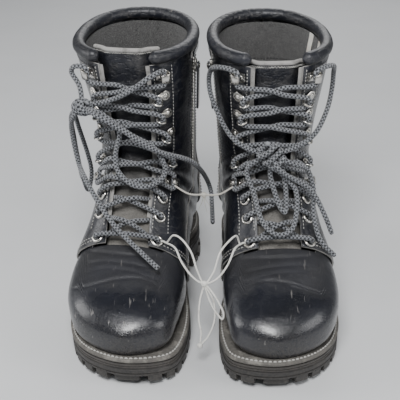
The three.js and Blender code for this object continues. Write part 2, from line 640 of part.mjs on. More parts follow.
// ---- One boot -----------------------------------------------------------------------------------------
function makeBoot(side) {
  const bow = bows[side];
  const place = (list) => list.map(([u, across, offset]) => spot(u, across, offset));
  const knot = { top: (x) => place(x > 0 ? bow.topInner : bow.topOuter) };
  const route = lacingPoints(knot);
  const lacing = cord(route.whole, laceDiameter);
  const clearance = cord(route.throughEyelets, laceDiameter + 2 * gap + 1);
  const bowBody = union(bowPieces(side));
  return [
    ["outsole", outsole(), rubber],
    ["heel_block", heelBlock(), rubber],
    ["midsole", midsole(), rubber],
    ["welt", welt(), paleLeather],
    ["insole", insole(), greyCloth],
    ["vamp", vamp(), black],
    ["quarter_outer", cut(lateralQuarter(), [clearance]), black],
    ["quarter_inner_front", cut(medialFront(), [clearance]), black],
    ["quarter_inner_back", medialBack(), black],
    ["heel_counter", heelCounter(), black],
    ["backstay", backstay(), black],
    ["collar_pad", collarPad(), black],
    ["lining", lining(), greyCloth],
    ["tongue", tongue(side), paleLeather],
    ["clips_outer", clipRow(-1), nickel],
    ["clips_inner", clipRow(1), nickel],
    ["eyelets_outer", eyelets(-1), nickel],
    ["eyelets_inner", eyelets(1), nickel],
    ["vent", vent(), nickel],
    ["zip_tape", zipTape(), greyCloth],
    ["zip_slider", zipSlider(), nickel],
    ["zip_pull", zipPull(), black],
    ["zip_garage", zipGarage(), black],
    ["lacing", lacing, laceCloth],
    ["bow", bowBody, laceCloth],
  ];
}

// ---- The pair -----------------------------------------------------------------------------------------
const stance = {
  right: { x: -63, y: 0, turn: 0.14, lean: -0.06 },
  left: { x: 58, y: -5, turn: 0.05, lean: 0 },
};

// From a boot's own frame to the pair: mirrored for the left boot, leaned, turned and moved.
function stand(side) {
  const { x, y, turn, lean } = stance[side];
  const mirror = side === "left" ? -1 : 1;
  const shear = new THREE.Matrix4().set(1, 0, lean, -40 * lean, 0, 1, 0, 0, 0, 0, 1, 0, 0, 0, 0, 1);
  const matrix = new THREE.Matrix4().makeScale(mirror, 1, 1);
  matrix.premultiply(shear);
  matrix.premultiply(new THREE.Matrix4().makeRotationZ(-mirror * turn));
  return matrix.premultiply(new THREE.Matrix4().makeTranslation(x, y, 0));
}

// The white string that ties the two boots together, in the pair's own frame.
function tieString() {
  const anchor = (side) => spot(rows[0], eyeletReach + 6.5, 3.5).applyMatrix4(stand(side));
  const [from, to] = [anchor("right"), anchor("left")];
  const middle = from.clone().lerp(to, 0.5);
  const at = (x, y, z) => middle.clone().add(vec(x, y, z));
  const rightHalf = [at(-27, -6, 12), at(-22, -14, 12), at(-14, -24, 3), at(-7, -30, -20)];
  const leftHalf = [at(10, -31, -20), at(15, -25, 3), at(23, -15, 12), at(28, -7, 12)];
  const span = [from, ...rightHalf, at(1, -34, -28), ...leftHalf, to];
  const knot = new THREE.SphereGeometry(3, 8, 6).translate(...at(1, -34, -28).toArray());
  const tail = [at(1, -34, -28), at(9, -38, -38), at(14, -48, -50), at(6, -60, -62), at(-3, -66, -68)];
  const bead = new THREE.SphereGeometry(2.6, 8, 6).translate(...at(-3, -66, -68).toArray());
  return union([cord(smooth(span, 16), stringDiameter), knot, cord(smooth(tail, 10), stringDiameter), bead]);
}

const pair = new THREE.Group();
pair.name = "combat_boots";
function addPiece(name, geometry, finish) {
  const mesh = new THREE.Mesh(closed(geometry), new THREE.MeshStandardMaterial(finish));
  mesh.geometry.computeVertexNormals();
  mesh.name = name;
  pair.add(mesh);
}
for (const side of ["right", "left"]) {
  for (const [name, geometry, finish] of makeBoot(side)) {
    addPiece(`${side}_${name}`, geometry.applyMatrix4(stand(side)), finish);
  }
}
addPiece("tie_string", tieString(), whiteCotton);

// The origin is the middle of the boots' footprint, on the floor; the laces and the string don't count.
const boots = pair.children.filter((mesh) => !/lacing|bow|string/.test(mesh.name));
const box = new THREE.Box3();
for (const mesh of boots) box.expandByObject(mesh);
const centre = box.getCenter(vec(0, 0, 0));
for (const mesh of pair.children) mesh.geometry.translate(-centre.x, -centre.y, -box.min.z);

export default pair;
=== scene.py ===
# %% [markdown]
# # A pair of worn lace-up combat boots
# A boot is leather drawn over a last, which is a solid foot shape, and stitched to a welt that carries the
# rubber sole. The lesson follows that order: first the last as a function, then cords, leather, metal and
# rubber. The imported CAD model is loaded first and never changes; every new piece rides on one of its bodies.

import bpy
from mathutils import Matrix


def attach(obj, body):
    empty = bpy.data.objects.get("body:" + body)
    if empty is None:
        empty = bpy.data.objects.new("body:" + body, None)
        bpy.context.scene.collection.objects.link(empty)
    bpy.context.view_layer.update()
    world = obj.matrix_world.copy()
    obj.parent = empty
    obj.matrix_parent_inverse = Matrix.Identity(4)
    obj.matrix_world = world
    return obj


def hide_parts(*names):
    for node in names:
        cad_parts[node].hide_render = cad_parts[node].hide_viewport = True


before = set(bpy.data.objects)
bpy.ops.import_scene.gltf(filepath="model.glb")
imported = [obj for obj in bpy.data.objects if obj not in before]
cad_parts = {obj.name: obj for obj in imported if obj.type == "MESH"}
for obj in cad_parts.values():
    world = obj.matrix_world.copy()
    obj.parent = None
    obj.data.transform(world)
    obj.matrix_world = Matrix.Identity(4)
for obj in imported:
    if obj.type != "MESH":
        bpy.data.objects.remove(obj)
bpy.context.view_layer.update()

import bpy
import numpy as np
from mathutils import Vector

# %% [markdown]
# ## Camera, floor and light
# The pair is seen from a little above the toes with a long lens, which keeps the two toes the same size. The
# camera is made first, because the cords are judged by what it sees. A real studio would use big soft boxes:
# black leather has hardly any colour of its own, so wide lights matter more here than strong ones.

# %% Camera
CAMERA_DISTANCE = 0.876
CAMERA_ELEVATION = np.radians(25.9)
CAMERA_AIM = Vector((-0.004, 0.0, 0.1105))
view_line = Vector((0.0, np.cos(CAMERA_ELEVATION), -np.sin(CAMERA_ELEVATION)))
camera_data = bpy.data.cameras.new("camera")
camera_data.lens = 82.5
camera = bpy.data.objects.new("camera", camera_data)
camera.location = CAMERA_AIM - view_line * CAMERA_DISTANCE
camera.rotation_euler = view_line.to_track_quat("-Z", "Y").to_euler()
bpy.context.scene.collection.objects.link(camera)
bpy.context.scene.camera = camera
print("camera at", [round(x, 3) for x in camera.location])


# %% Soft lights
def soft_box(name, place, aim, size, watts):
    """A square area light at a place, turned toward a point."""
    light = bpy.data.lights.new(name, "AREA")
    light.size = size
    light.energy = watts
    lamp = bpy.data.objects.new(name, light)
    lamp.location = place
    lamp.rotation_euler = (Vector(aim) - Vector(place)).to_track_quat("-Z", "Y").to_euler()
    bpy.context.scene.collection.objects.link(lamp)


soft_box("key_light", (-0.12, -0.85, 1.1), (0, -0.02, 0.1), 0.42, 19)
soft_box("fill_light", (1.2, -0.6, 0.75), (0, 0, 0.12), 0.7, 7)
soft_box("side_light", (-1.25, 0.0, 0.6), (0, 0, 0.12), 0.7, 8)
soft_box("back_light", (0.2, 1.3, 1.0), (0, 0, 0.15), 0.9, 8)
room = bpy.data.worlds.new("room")
room.use_nodes = True
room.node_tree.nodes["Background"].inputs["Color"].default_value = (0.86, 0.88, 0.9, 1)
room.node_tree.nodes["Background"].inputs["Strength"].default_value = 0.22
bpy.context.scene.world = room
print("lights", len(bpy.data.lights))

# %% [markdown]
# ## The last
# The last is a stack of sections that runs from the toe tip over the instep and up the shaft. Each section is a
# superellipse, a rounded oval, between a top line and an under line. All of it is one function of two
# parameters, u along the stations and v round the section, so every leather piece is a patch of it.

# %% Stations of the last, in millimetres
MM = 0.001
SEAT = 24.8
TOP_Y = [-145, -131, -102, -57, -28, -13, -9, -7, -7, -9, -14, -17]
TOP_Z = [46, 62, 74, 89, 118, 142, 155, 169, 182, 208, 246, 272]
UNDER_Y = [-145, -131, -100, -40, 25, 86, 127, 141, 129, 121, 118, 118]
UNDER_Z = [SEAT + 6, SEAT + 2.6, SEAT + 0.4, SEAT + 0.3, SEAT + 10.2, SEAT + 17, SEAT + 20, 86, 133, 193, 254, 280]
HALF = [0, 35, 49.5, 51.5, 43.5, 39.5, 39.5, 41, 42, 47.6, 52, 53]
SHIFT = [7, 5, -1, -3, -3, -1, 0, 0, 0, 0, 0, 0]
BOX = [4, 4, 4, 4, 4, 4, 3.4, 2.4, 2.2, 2.2, 2.2, 2.2]
ROUNDNESS = 2.3
COLLAR = 10.0


def mix(a, b, share):
    """Straight blend from a at share 0 to b at share 1."""
    return a + (b - a) * share


def ease(low, high, value):
    """0 below low, 1 above high, and a smooth 3t^2 - 2t^3 between."""
    t = np.clip((np.asarray(value, float) - low) / (high - low), 0, 1)
    return t * t * (3 - 2 * t)


def along(values, u, even):
    """Catmull-Rom curve through station values; the start is reflected evenly or oddly."""
    values = np.asarray(values, float)
    head = values[1] if even else 2 * values[0] - values[1]
    padded = np.concatenate([[head], values, [2 * values[-1] - values[-2]]])
    u = np.asarray(u, float)
    i = np.clip(np.floor(np.maximum(u, 0)).astype(int), 0, len(values) - 2)
    t = u - i
    slope_in = (padded[i + 2] - padded[i]) / 2
    slope_out = (padded[i + 3] - padded[i + 1]) / 2
    rise = padded[i + 2] - padded[i + 1]
    bend = 3 * rise - 2 * slope_in - slope_out
    return padded[i + 1] + t * (slope_in + t * (bend + t * (slope_in + slope_out - 2 * rise)))


def last_point(u, v):
    """Point of the last: the angle is pi v, height is sign(cos) |cos|^(2/p) and side is sign(sin) |sin|^(2/p)."""
    c, s = np.cos(np.pi * v), np.sin(np.pi * v)
    power = np.where(c > 0, ROUNDNESS, along(BOX, u, False))
    share = (1 + np.sign(c) * np.abs(c) ** (2 / power)) / 2
    side = np.sign(s) * np.abs(s) ** (2 / power)
    x = along(SHIFT, u, True) + side * along(HALF, u, False)
    y = mix(along(UNDER_Y, u, True), along(TOP_Y, u, True), share)
    z = mix(along(UNDER_Z, u, False), along(TOP_Z, u, False), share)
    return np.stack(np.broadcast_arrays(x, y, z), -1)


def unit(a):
    """Vectors of length one."""
    return a / np.maximum(np.linalg.norm(a, axis=-1, keepdims=True), 1e-9)


def last_normal(u, v):
    """Outward normal of the last: the slope round the section crossed with the slope along the stations."""
    u, v = np.broadcast_arrays(np.asarray(u, float), np.asarray(v, float))
    near = np.maximum(u, 0.04)
    turn = np.where(u < 1e-6, np.abs(v), v)
    along_u = last_point(near + 0.02, turn) - last_point(near - 0.02, turn)
    along_v = last_point(near, turn + 0.02) - last_point(near, turn - 0.02)
    normal = unit(np.cross(along_v, along_u))
    normal[u < 1e-6, 0] = 0
    return unit(normal)


ZIP_V = 0.5
ZIP_FROM = 6.9
zip_top = last_point(COLLAR, ZIP_V)
zip_bottom = last_point(ZIP_FROM, ZIP_V)


def surface(u, v, offset=0.0):
    """The last moved out by an offset, eased onto a straight line along the zip, which can't bend."""
    u, v = np.broadcast_arrays(np.asarray(u, float), np.asarray(v, float))
    wrapped = v - 2 * np.round(v / 2)
    near = np.maximum(0, 1 - np.abs(wrapped - ZIP_V) / 0.36)
    weight = near * near * (3 - 2 * near) * ease(5.6, ZIP_FROM, u)
    line = last_point(u, np.full_like(u, ZIP_V))
    share = (line[..., 2] - zip_bottom[2]) / (zip_top[2] - zip_bottom[2])
    pull = (mix(zip_bottom, zip_top, share[..., None]) - line) * weight[..., None]
    return last_point(u, v) + pull + last_normal(u, v) * np.asarray(offset)[..., None]


def reach(u, across):
    """The v at which the surface is so many millimetres from its centre line, on the front half."""
    part = np.minimum(0.999, np.abs(across) / along(HALF, u, False))
    return np.sign(across) * np.arcsin(part ** (ROUNDNESS / 2)) / np.pi


def spot(u, across, offset):
    """A point in front of the boot: station, millimetres across with the inner side positive, height off the last."""
    return surface(u, reach(u, across), offset)


def on_surface(u, v, offset):
    """4x4 frame on the surface: x across toward the inner side, y up the boot, z outward."""
    outward = last_normal(u, v)
    upward = surface(u + 0.05, v) - surface(u - 0.05, v)
    upward = unit(upward - outward * (upward @ outward))
    made = np.eye(4)
    made[:3, 0], made[:3, 1], made[:3, 2] = np.cross(upward, outward), upward, outward
    made[:3, 3] = surface(u, v, offset)
    return made


print("toe tip", surface(0.0, 0.0).round(1), "collar front", surface(COLLAR, 0.0).round(1))

# %% [markdown]
# ## From one boot to the pair
# Both boots come from the same right-foot shape. The left one is its mirror, and each is leaned, turned and set
# down as the pair stands. A mirror turns faces inside out, so the mesh maker measures the signed volume and
# reverses the faces where it is negative. That one test keeps every closed piece facing outward.

# %% Placing and mesh making
STANCE = {"right": (-63, 0, 0.14, -0.06), "left": (58, -5, 0.05, 0.0)}
PAIR_SHIFT = (5.231, 4.405)


def stand(points, side):
    """Boot millimetres to pair metres: mirror, lean x by height, turn about the upright, move."""
    place_x, place_y, turn, lean = STANCE[side]
    mirror = -1 if side == "left" else 1
    points = np.asarray(points, float)
    x = points[..., 0] * mirror + lean * (points[..., 2] - 40)
    y = points[..., 1]
    c, s = np.cos(-mirror * turn), np.sin(-mirror * turn)
    moved = (x * c - y * s + place_x + PAIR_SHIFT[0], x * s + y * c + place_y + PAIR_SHIFT[1], points[..., 2])
    return np.stack(moved, -1) * MM


def apply(matrix, points):
    """Points moved by a 4x4 matrix."""
    return np.asarray(points, float) @ matrix[:3, :3].T + matrix[:3, 3]


def grid_faces(n, m, wrap_n=False, wrap_m=False, start=0):
    """Quads of an n by m grid of points, with either direction closed on itself if asked."""
    a, b = np.meshgrid(np.arange(n if wrap_n else n - 1), np.arange(m if wrap_m else m - 1), indexing="ij")
    a2, b2 = (a + 1) % n, (b + 1) % m
    return start + np.stack([a * m + b, a2 * m + b, a2 * m + b2, a * m + b2], -1).reshape(-1, 4)


def signed_volume(points, faces):
    """Six times the volume inside the faces, from the triangles of each face's fan."""
    total = 0.0
    for corner in range(1, faces.shape[1] - 1):
        a, b, c = points[faces[:, 0]], points[faces[:, corner]], points[faces[:, corner + 1]]
        total += np.einsum("ij,ij->", a, np.cross(b, c))
    return total


def end_caps(count, last):
    """The first and last faces of a stack of rings of count points; last is the number of the last ring's start."""
    return [np.arange(count)[::-1][None], (np.arange(count) + last)[None]]


def make_piece(name, points, faces, finish, body="pair", tags=None, uv=None, sharp=40, replaces=()):
    """A mesh object in pair metres. faces is a list of index arrays with the same number of corners in each;
    tags holds a material number for each face, and uv a pair of numbers for each corner of each face."""
    points = np.asarray(points, float)
    volume = sum(signed_volume(points, f) for f in faces)
    if volume < 0:
        faces = [f[:, ::-1] for f in faces]
        uv = uv and [f[:, ::-1] for f in uv]
    mesh = bpy.data.meshes.new(name)
    mesh.from_pydata(points.tolist(), [], [row for f in faces for row in f.tolist()])
    for material in finish if isinstance(finish, list) else [finish]:
        mesh.materials.append(material)
    if tags is not None:
        mesh.polygons.foreach_set("material_index", np.asarray(tags, np.int32))
    if uv is not None:
        flat = np.concatenate([f.ravel() for f in uv]).astype(np.float32)
        mesh.uv_layers.new(name="surface").data.foreach_set("uv", flat)
    mesh.validate()
    mesh.shade_smooth()
    if sharp:
        mesh.set_sharp_from_angle(angle=np.radians(sharp))
    piece = bpy.data.objects.new(name, mesh)
    bpy.context.scene.collection.objects.link(piece)
    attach(piece, body)
    if replaces:
        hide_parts(*replaces)
    return piece


SIDES = ("right", "left")
print("mesh maker ready")

# %% [markdown]
# ## Finishes: shared effects
# Grain, creases, the flex band, wear, scratches, dust, braid and weave are each one node group with named
# sockets. The groups only put out numbers that change over the surface. The shader, with its gloss and sheen,
# stays in each material, where its constants are set straight on its own sockets.

# %% Node helpers
def add(tree, kind, values=None, **settings):
    """A node with its settings, and with values for its inputs: a number, a colour or another node's output."""
    made = tree.nodes.new("ShaderNode" + kind)
    for key, value in settings.items():
        setattr(made, key, value)
    for key, value in (values or {}).items():
        if isinstance(value, bpy.types.NodeSocket):
            tree.links.new(value, made.inputs[key])
        else:
            made.inputs[key].default_value = value
    return made


def math(tree, operation, *values):
    """One Math node's result."""
    return add(tree, "Math", dict(enumerate(values)), operation=operation).outputs[0]


def blend_colour(tree, factor, first, second):
    """A colour mixed from first to second by a factor."""
    made = add(tree, "Mix", {0: factor}, data_type="RGBA")
    for socket, value in ((made.inputs[6], first), (made.inputs[7], second)):
        if isinstance(value, bpy.types.NodeSocket):
            tree.links.new(value, socket)
        else:
            socket.default_value = (*value, 1) if len(value) == 3 else value
    return made.outputs[2]


def spread(tree, value, low, high, out_low=0.0, out_high=1.0):
    """A value stretched from one range to another, and held inside it."""
    made = add(tree, "MapRange", {0: value, 1: low, 2: high, 3: out_low, 4: out_high})
    made.clamp = True
    return made.outputs[0]


def effect(name, inputs, outputs, fill):
    """A shader node group: inputs are {name: number}, outputs are names, and fill builds it."""
    tree = bpy.data.node_groups.new(name, "ShaderNodeTree")
    for label, value in inputs.items():
        socket = tree.interface.new_socket(label, in_out="INPUT", socket_type="NodeSocketFloat")
        socket.default_value = value
    for label in outputs:
        tree.interface.new_socket(label, in_out="OUTPUT", socket_type="NodeSocketFloat")
    given = tree.nodes.new("NodeGroupInput")
    result = tree.nodes.new("NodeGroupOutput")
    for label, value in fill(tree, given.outputs).items():
        tree.links.new(value, result.inputs[label])
    return tree


def use(tree, group, **values):
    """A group placed in a material; an underscore in a value's name stands for a space."""
    made = tree.nodes.new("ShaderNodeGroup")
    made.node_tree = group
    for key, value in values.items():
        socket = made.inputs[key.replace("_", " ")]
        if isinstance(value, bpy.types.NodeSocket):
            tree.links.new(value, socket)
        else:
            socket.default_value = value
    return made.outputs


def object_place(tree):
    """Object coordinates, which are pair metres, because every piece sits at the origin."""
    return add(tree, "TexCoord").outputs["Object"]


def noise(tree, scale, detail=3.0, place=None):
    """Fractal noise at a scale in turns a metre."""
    values = {"Vector": place or object_place(tree), "Scale": scale, "Detail": detail}
    return add(tree, "TexNoise", values).outputs[0]


# %% Leather grain, wear, scratches and dust
def fill_grain(tree, given):
    """Pebbles from distance to cell edges, softened by fine noise."""
    cells = add(tree, "TexVoronoi", {"Vector": object_place(tree), "Scale": given["Scale"]}, feature="SMOOTH_F1")
    fine = noise(tree, math(tree, "MULTIPLY", given["Scale"], 2.3))
    broad = noise(tree, math(tree, "MULTIPLY", given["Scale"], 0.12))
    height = math(tree, "ADD", cells.outputs["Distance"], math(tree, "MULTIPLY", fine, 0.5))
    return {"Height": math(tree, "ADD", height, math(tree, "MULTIPLY", broad, given["Lumps"]))}


def fill_wear(tree, given):
    """Patches where two sizes of noise are both high; Amount moves the threshold."""
    big = noise(tree, given["Scale"], 5.0)
    small = noise(tree, math(tree, "MULTIPLY", given["Scale"], 7.0), 4.0)
    both = math(tree, "ADD", math(tree, "MULTIPLY", big, 0.7), math(tree, "MULTIPLY", small, 0.3))
    low = math(tree, "SUBTRACT", 0.75, math(tree, "MULTIPLY", given["Amount"], 0.4))
    return {"Mask": spread(tree, both, low, math(tree, "ADD", low, 0.12))}


def fill_scratches(tree, given):
    """Thin marks: noise stretched forty times along one way is high only in slivers."""
    turned = add(tree, "Mapping", {0: object_place(tree), 2: (0.5, 0.35, 0.8), 3: (1.0, 0.05, 0.4)})
    marks = noise(tree, given["Scale"], 2.0, turned.outputs[0])
    where = noise(tree, 38.0, 2.0)
    thin = spread(tree, marks, 0.66, 0.7)
    return {"Mask": math(tree, "MULTIPLY", thin, spread(tree, where, 0.48, 0.6))}


def fill_dust(tree, given):
    """Dust lies low down: full at height Low, none at High, broken up by noise."""
    apart = add(tree, "SeparateXYZ", {0: object_place(tree)})
    level = spread(tree, apart.outputs[2], given["High"], given["Low"])
    speckle = spread(tree, noise(tree, 520.0, 8.0), 0.3, 0.8)
    return {"Mask": math(tree, "MULTIPLY", level, speckle)}


def fill_creases(tree, given):
    """Fine creases lie where a noise squeezed in height crosses its middle: 1 on the line, falling to 0 beside it."""
    squeezed = add(tree, "Mapping", {0: object_place(tree), 3: (1.0, 1.0, 2.4)}).outputs[0]
    wander = noise(tree, given["Scale"], 4.0, squeezed)
    beside = math(tree, "ABSOLUTE", math(tree, "SUBTRACT", wander, 0.5))
    return {"Depth": spread(tree, beside, 0.045, 0.0)}


def fill_flex(tree, given):
    """The band where the toes bend: full between Front and Back along the boot, above Height, with ragged edges."""
    apart = add(tree, "SeparateXYZ", {0: object_place(tree)})
    ragged = math(tree, "MULTIPLY", math(tree, "SUBTRACT", noise(tree, 70.0, 5.0), 0.5), 0.03)
    along_boot = math(tree, "ADD", apart.outputs[1], ragged)
    front = spread(tree, along_boot, given["Front"], math(tree, "ADD", given["Front"], 0.012))
    back = spread(tree, along_boot, given["Back"], math(tree, "SUBTRACT", given["Back"], 0.008))
    above = spread(tree, apart.outputs[2], given["Height"], math(tree, "ADD", given["Height"], 0.02))
    return {"Mask": math(tree, "MULTIPLY", math(tree, "MULTIPLY", front, back), above)}


grain_group = effect("leather_grain", {"Scale": 900.0, "Lumps": 0.6}, ["Height"], fill_grain)
wear_group = effect("wear", {"Scale": 40.0, "Amount": 0.5}, ["Mask"], fill_wear)
scratch_group = effect("scratches", {"Scale": 420.0}, ["Mask"], fill_scratches)
dust_group = effect("dust", {"Low": 0.02, "High": 0.08}, ["Mask"], fill_dust)
crease_group = effect("creases", {"Scale": 60.0}, ["Depth"], fill_creases)
flex_group = effect("flex_band", {"Front": -0.1, "Back": -0.05, "Height": 0.05}, ["Mask"], fill_flex)


# %% Braid and weave, which follow a piece's own UV map
def fill_braid(tree, given):
    """Two families of strands, p = n v + t u and q = n v - t u; the higher wave lies on top, and every other
    strand of each family is pale."""
    apart = add(tree, "SeparateXYZ", {0: add(tree, "UVMap", uv_map="surface").outputs[0]})
    around = math(tree, "MULTIPLY", apart.outputs[1], given["Strands"])
    lengthwise = math(tree, "MULTIPLY", apart.outputs[0], given["Turns"])
    p = math(tree, "ADD", around, lengthwise)
    q = math(tree, "SUBTRACT", around, lengthwise)
    wave_p = math(tree, "SINE", math(tree, "MULTIPLY", p, 6.2832))
    wave_q = math(tree, "SINE", math(tree, "MULTIPLY", q, 6.2832))
    on_top = math(tree, "GREATER_THAN", wave_p, wave_q)
    pale_p, pale_q = (math(tree, "LESS_THAN", math(tree, "PINGPONG", math(tree, "FLOOR", family), 1.0), 0.5)
                      for family in (p, q))
    fleck = spread(tree, on_top, 0.0, 1.0, pale_q, pale_p)
    return {"Height": math(tree, "MAXIMUM", wave_p, wave_q), "Fleck": fleck}


def fill_weave(tree, given):
    """A plain weave: waves across and along, the warp over the weft on every other crossing."""
    apart = add(tree, "SeparateXYZ", {0: add(tree, "UVMap", uv_map="surface").outputs[0]})
    across = math(tree, "SINE", math(tree, "MULTIPLY", apart.outputs[0], given["Across"]))
    lengthwise = math(tree, "SINE", math(tree, "MULTIPLY", apart.outputs[1], given["Along"]))
    return {"Height": math(tree, "MULTIPLY", across, lengthwise)}


braid_group = effect("braid", {"Strands": 4.0, "Turns": 1.0}, ["Height", "Fleck"], fill_braid)
weave_group = effect("weave", {"Across": 300.0, "Along": 900.0}, ["Height"], fill_weave)
print("effects", [g.name for g in bpy.data.node_groups])

# %% [markdown]
# ## Finishes: materials
# Smooth boot leather is dyed black through a hard finish, so it is nearly black with a clear glossy coat. Its faint
# blue cast is a painted cool sheen of the light, not dye. Where it rubs, the finish goes grey and dull. Cut edges show
# the undyed middle of the hide. Each material mixes its colour and roughness by the masks above, and its bump comes
# from the grain.


# %% Material maker
def finish(name, build, **sockets):
    """A material whose shader constants are set on its own sockets; build returns what changes over the surface."""
    made = bpy.data.materials.new(name)
    made.use_nodes = True
    tree = made.node_tree
    shader = tree.nodes["Principled BSDF"]
    for key, value in sockets.items():
        shader.inputs[key.replace("_", " ")].default_value = value
    varied = build(tree)
    bump = varied.pop("bump", None)
    if bump:
        height, strength, depth = bump
        normal = add(tree, "Bump", {"Height": height, "Strength": strength, "Distance": depth})
        tree.links.new(normal.outputs[0], shader.inputs["Normal"])
    for key, value in varied.items():
        tree.links.new(value, shader.inputs[key])
    return made


# Near-black leather, with a faint blue cast painted in as the cool sheen of the light rather than the dye.
BLACK_WITH_PAINTED_BLUE_SHEEN = (0.0045, 0.0052, 0.0085)
RUBBED = (0.075, 0.073, 0.072)
DUSTY = (0.19, 0.17, 0.145)


def mix_value(tree, factor, low, high):
    """A number blended from low to high by a mask."""
    return spread(tree, factor, 0.0, 1.0, low, high)


def leather(scale, lumps, wear, gloss, dull, dust_high, dust=0.4, creased=0.0, coated=0.5, depth=0.00035,
            flexed=0.0):
    """Black leather: grain and fine creases as bump, rubbed patches, a dull flex band, scratches, dust low down."""
    def build(tree):
        grain = use(tree, grain_group, Scale=scale, Lumps=lumps)["Height"]
        rubbed = use(tree, wear_group, Scale=34.0, Amount=wear)["Mask"]
        scratched = use(tree, scratch_group, Scale=420.0)["Mask"]
        dusted = use(tree, dust_group, Low=0.022, High=dust_high)["Mask"]
        creases = use(tree, crease_group, Scale=58.0)["Depth"]
        band = use(tree, flex_group, Front=-0.108, Back=-0.04, Height=0.055)["Mask"]
        flex = math(tree, "MULTIPLY", band, flexed)
        rubbed = math(tree, "MAXIMUM", rubbed, flex)
        tint = noise(tree, 22.0, 4.0)
        colour = blend_colour(tree, spread(tree, tint, 0.35, 0.7), BLACK_WITH_PAINTED_BLUE_SHEEN, [2.2 * part for part in BLACK_WITH_PAINTED_BLUE_SHEEN])
        colour = blend_colour(tree, math(tree, "MULTIPLY", rubbed, 0.4), colour, RUBBED)
        colour = blend_colour(tree, math(tree, "MULTIPLY", creases, 0.35 * creased), colour, RUBBED)
        colour = blend_colour(tree, math(tree, "MULTIPLY", scratched, 0.55), colour, (0.2, 0.19, 0.18))
        colour = blend_colour(tree, math(tree, "MULTIPLY", dusted, dust), colour, DUSTY)
        rough = mix_value(tree, rubbed, gloss, dull)
        rough = math(tree, "ADD", rough, math(tree, "MULTIPLY", tint, 0.12))
        rough = math(tree, "ADD", rough, math(tree, "MULTIPLY", dusted, 0.25))
        coat = spread(tree, math(tree, "ADD", rubbed, dusted), 0.0, 0.8, coated, 0.0)
        height = math(tree, "SUBTRACT", grain, math(tree, "MULTIPLY", creases, creased))
        return {"Base Color": colour, "Roughness": rough, "Coat Weight": coat, "bump": (height, 0.6, depth)}
    return build


boot_leather = finish("boot_leather", leather(1150.0, 1.6, 0.34, 0.2, 0.48, 0.06, creased=0.25, flexed=0.6),
                      Coat_Roughness=0.2)
shaft_leather = finish("shaft_leather", leather(1000.0, 2.4, 0.44, 0.27, 0.6, 0.05, creased=1.0, depth=0.00045),
                       Coat_Roughness=0.26)
soft_leather = finish("soft_leather", leather(800.0, 3.0, 0.4, 0.4, 0.7, 0.03, creased=1.0, coated=0.25,
                                              depth=0.0005), Coat_Roughness=0.35)


def build_cut_edge(tree):
    fibres = noise(tree, 1400.0, 5.0)
    dark = use(tree, wear_group, Scale=120.0, Amount=0.55)["Mask"]
    colour = blend_colour(tree, fibres, (0.16, 0.155, 0.15), (0.46, 0.45, 0.43))
    colour = blend_colour(tree, math(tree, "MULTIPLY", dark, 0.45), colour, (0.05, 0.048, 0.046))
    return {"Base Color": colour, "bump": (fibres, 0.6, 0.0004)}


def build_tongue(tree):
    apart = add(tree, "SeparateXYZ", {0: object_place(tree)})
    worn = use(tree, wear_group, Scale=60.0, Amount=0.62)["Mask"]
    low_down = spread(tree, math(tree, "ADD", apart.outputs[2], math(tree, "MULTIPLY", noise(tree, 45.0), 0.05)),
                      0.185, 0.125)
    pale = blend_colour(tree, noise(tree, 700.0, 5.0), (0.1, 0.095, 0.085), (0.3, 0.285, 0.26))
    black = blend_colour(tree, math(tree, "MULTIPLY", worn, 0.5), (0.012, 0.013, 0.018), (0.07, 0.068, 0.066))
    colour = blend_colour(tree, math(tree, "MULTIPLY", low_down, 0.8), black, pale)
    grain = use(tree, grain_group, Scale=700.0, Lumps=3.0)["Height"]
    creases = use(tree, crease_group, Scale=75.0)["Depth"]
    return {"Base Color": colour, "Roughness": mix_value(tree, low_down, 0.36, 0.9),
            "bump": (math(tree, "SUBTRACT", grain, creases), 0.7, 0.0006)}


def build_welt(tree):
    grain = use(tree, grain_group, Scale=1400.0, Lumps=1.0)["Height"]
    dirt = use(tree, wear_group, Scale=90.0, Amount=0.6)["Mask"]
    colour = blend_colour(tree, noise(tree, 300.0, 6.0), (0.05, 0.047, 0.043), (0.17, 0.16, 0.145))
    colour = blend_colour(tree, math(tree, "MULTIPLY", dirt, 0.6), colour, (0.26, 0.245, 0.22))
    return {"Base Color": colour, "bump": (grain, 0.6, 0.0004)}


def rubber(base, dust):
    """Moulded rubber: fine matt skin, scuffed paler, with dust low down."""
    def build(tree):
        skin = noise(tree, 1700.0, 6.0)
        scuffed = use(tree, wear_group, Scale=75.0, Amount=0.5)["Mask"]
        dusted = use(tree, dust_group, Low=0.0, High=0.045)["Mask"]
        colour = blend_colour(tree, noise(tree, 60.0, 5.0), base, (base[0] * 2.2, base[1] * 2.1, base[2] * 2.0))
        colour = blend_colour(tree, math(tree, "MULTIPLY", scuffed, 0.3), colour, (0.12, 0.115, 0.11))
        colour = blend_colour(tree, math(tree, "MULTIPLY", dusted, dust), colour, DUSTY)
        return {"Base Color": colour, "Roughness": mix_value(tree, scuffed, 0.55, 0.85), "bump": (skin, 0.4, 0.0003)}
    return build


def build_felt(tree):
    fluff = noise(tree, 2600.0, 8.0)
    clumps = noise(tree, 260.0, 5.0)
    colour = blend_colour(tree, clumps, (0.014, 0.014, 0.015), (0.07, 0.069, 0.068))
    return {"Base Color": blend_colour(tree, spread(tree, fluff, 0.48, 0.62), colour, (0.21, 0.208, 0.205)),
            "bump": (math(tree, "ADD", fluff, clumps), 0.8, 0.0007)}


def build_zip_cloth(tree):
    threads = use(tree, weave_group, Across=130.0, Along=1500.0)["Height"]
    colour = blend_colour(tree, spread(tree, threads, -1.0, 1.0), (0.012, 0.012, 0.013), (0.05, 0.05, 0.052))
    return {"Base Color": colour, "bump": (threads, 0.6, 0.0003)}


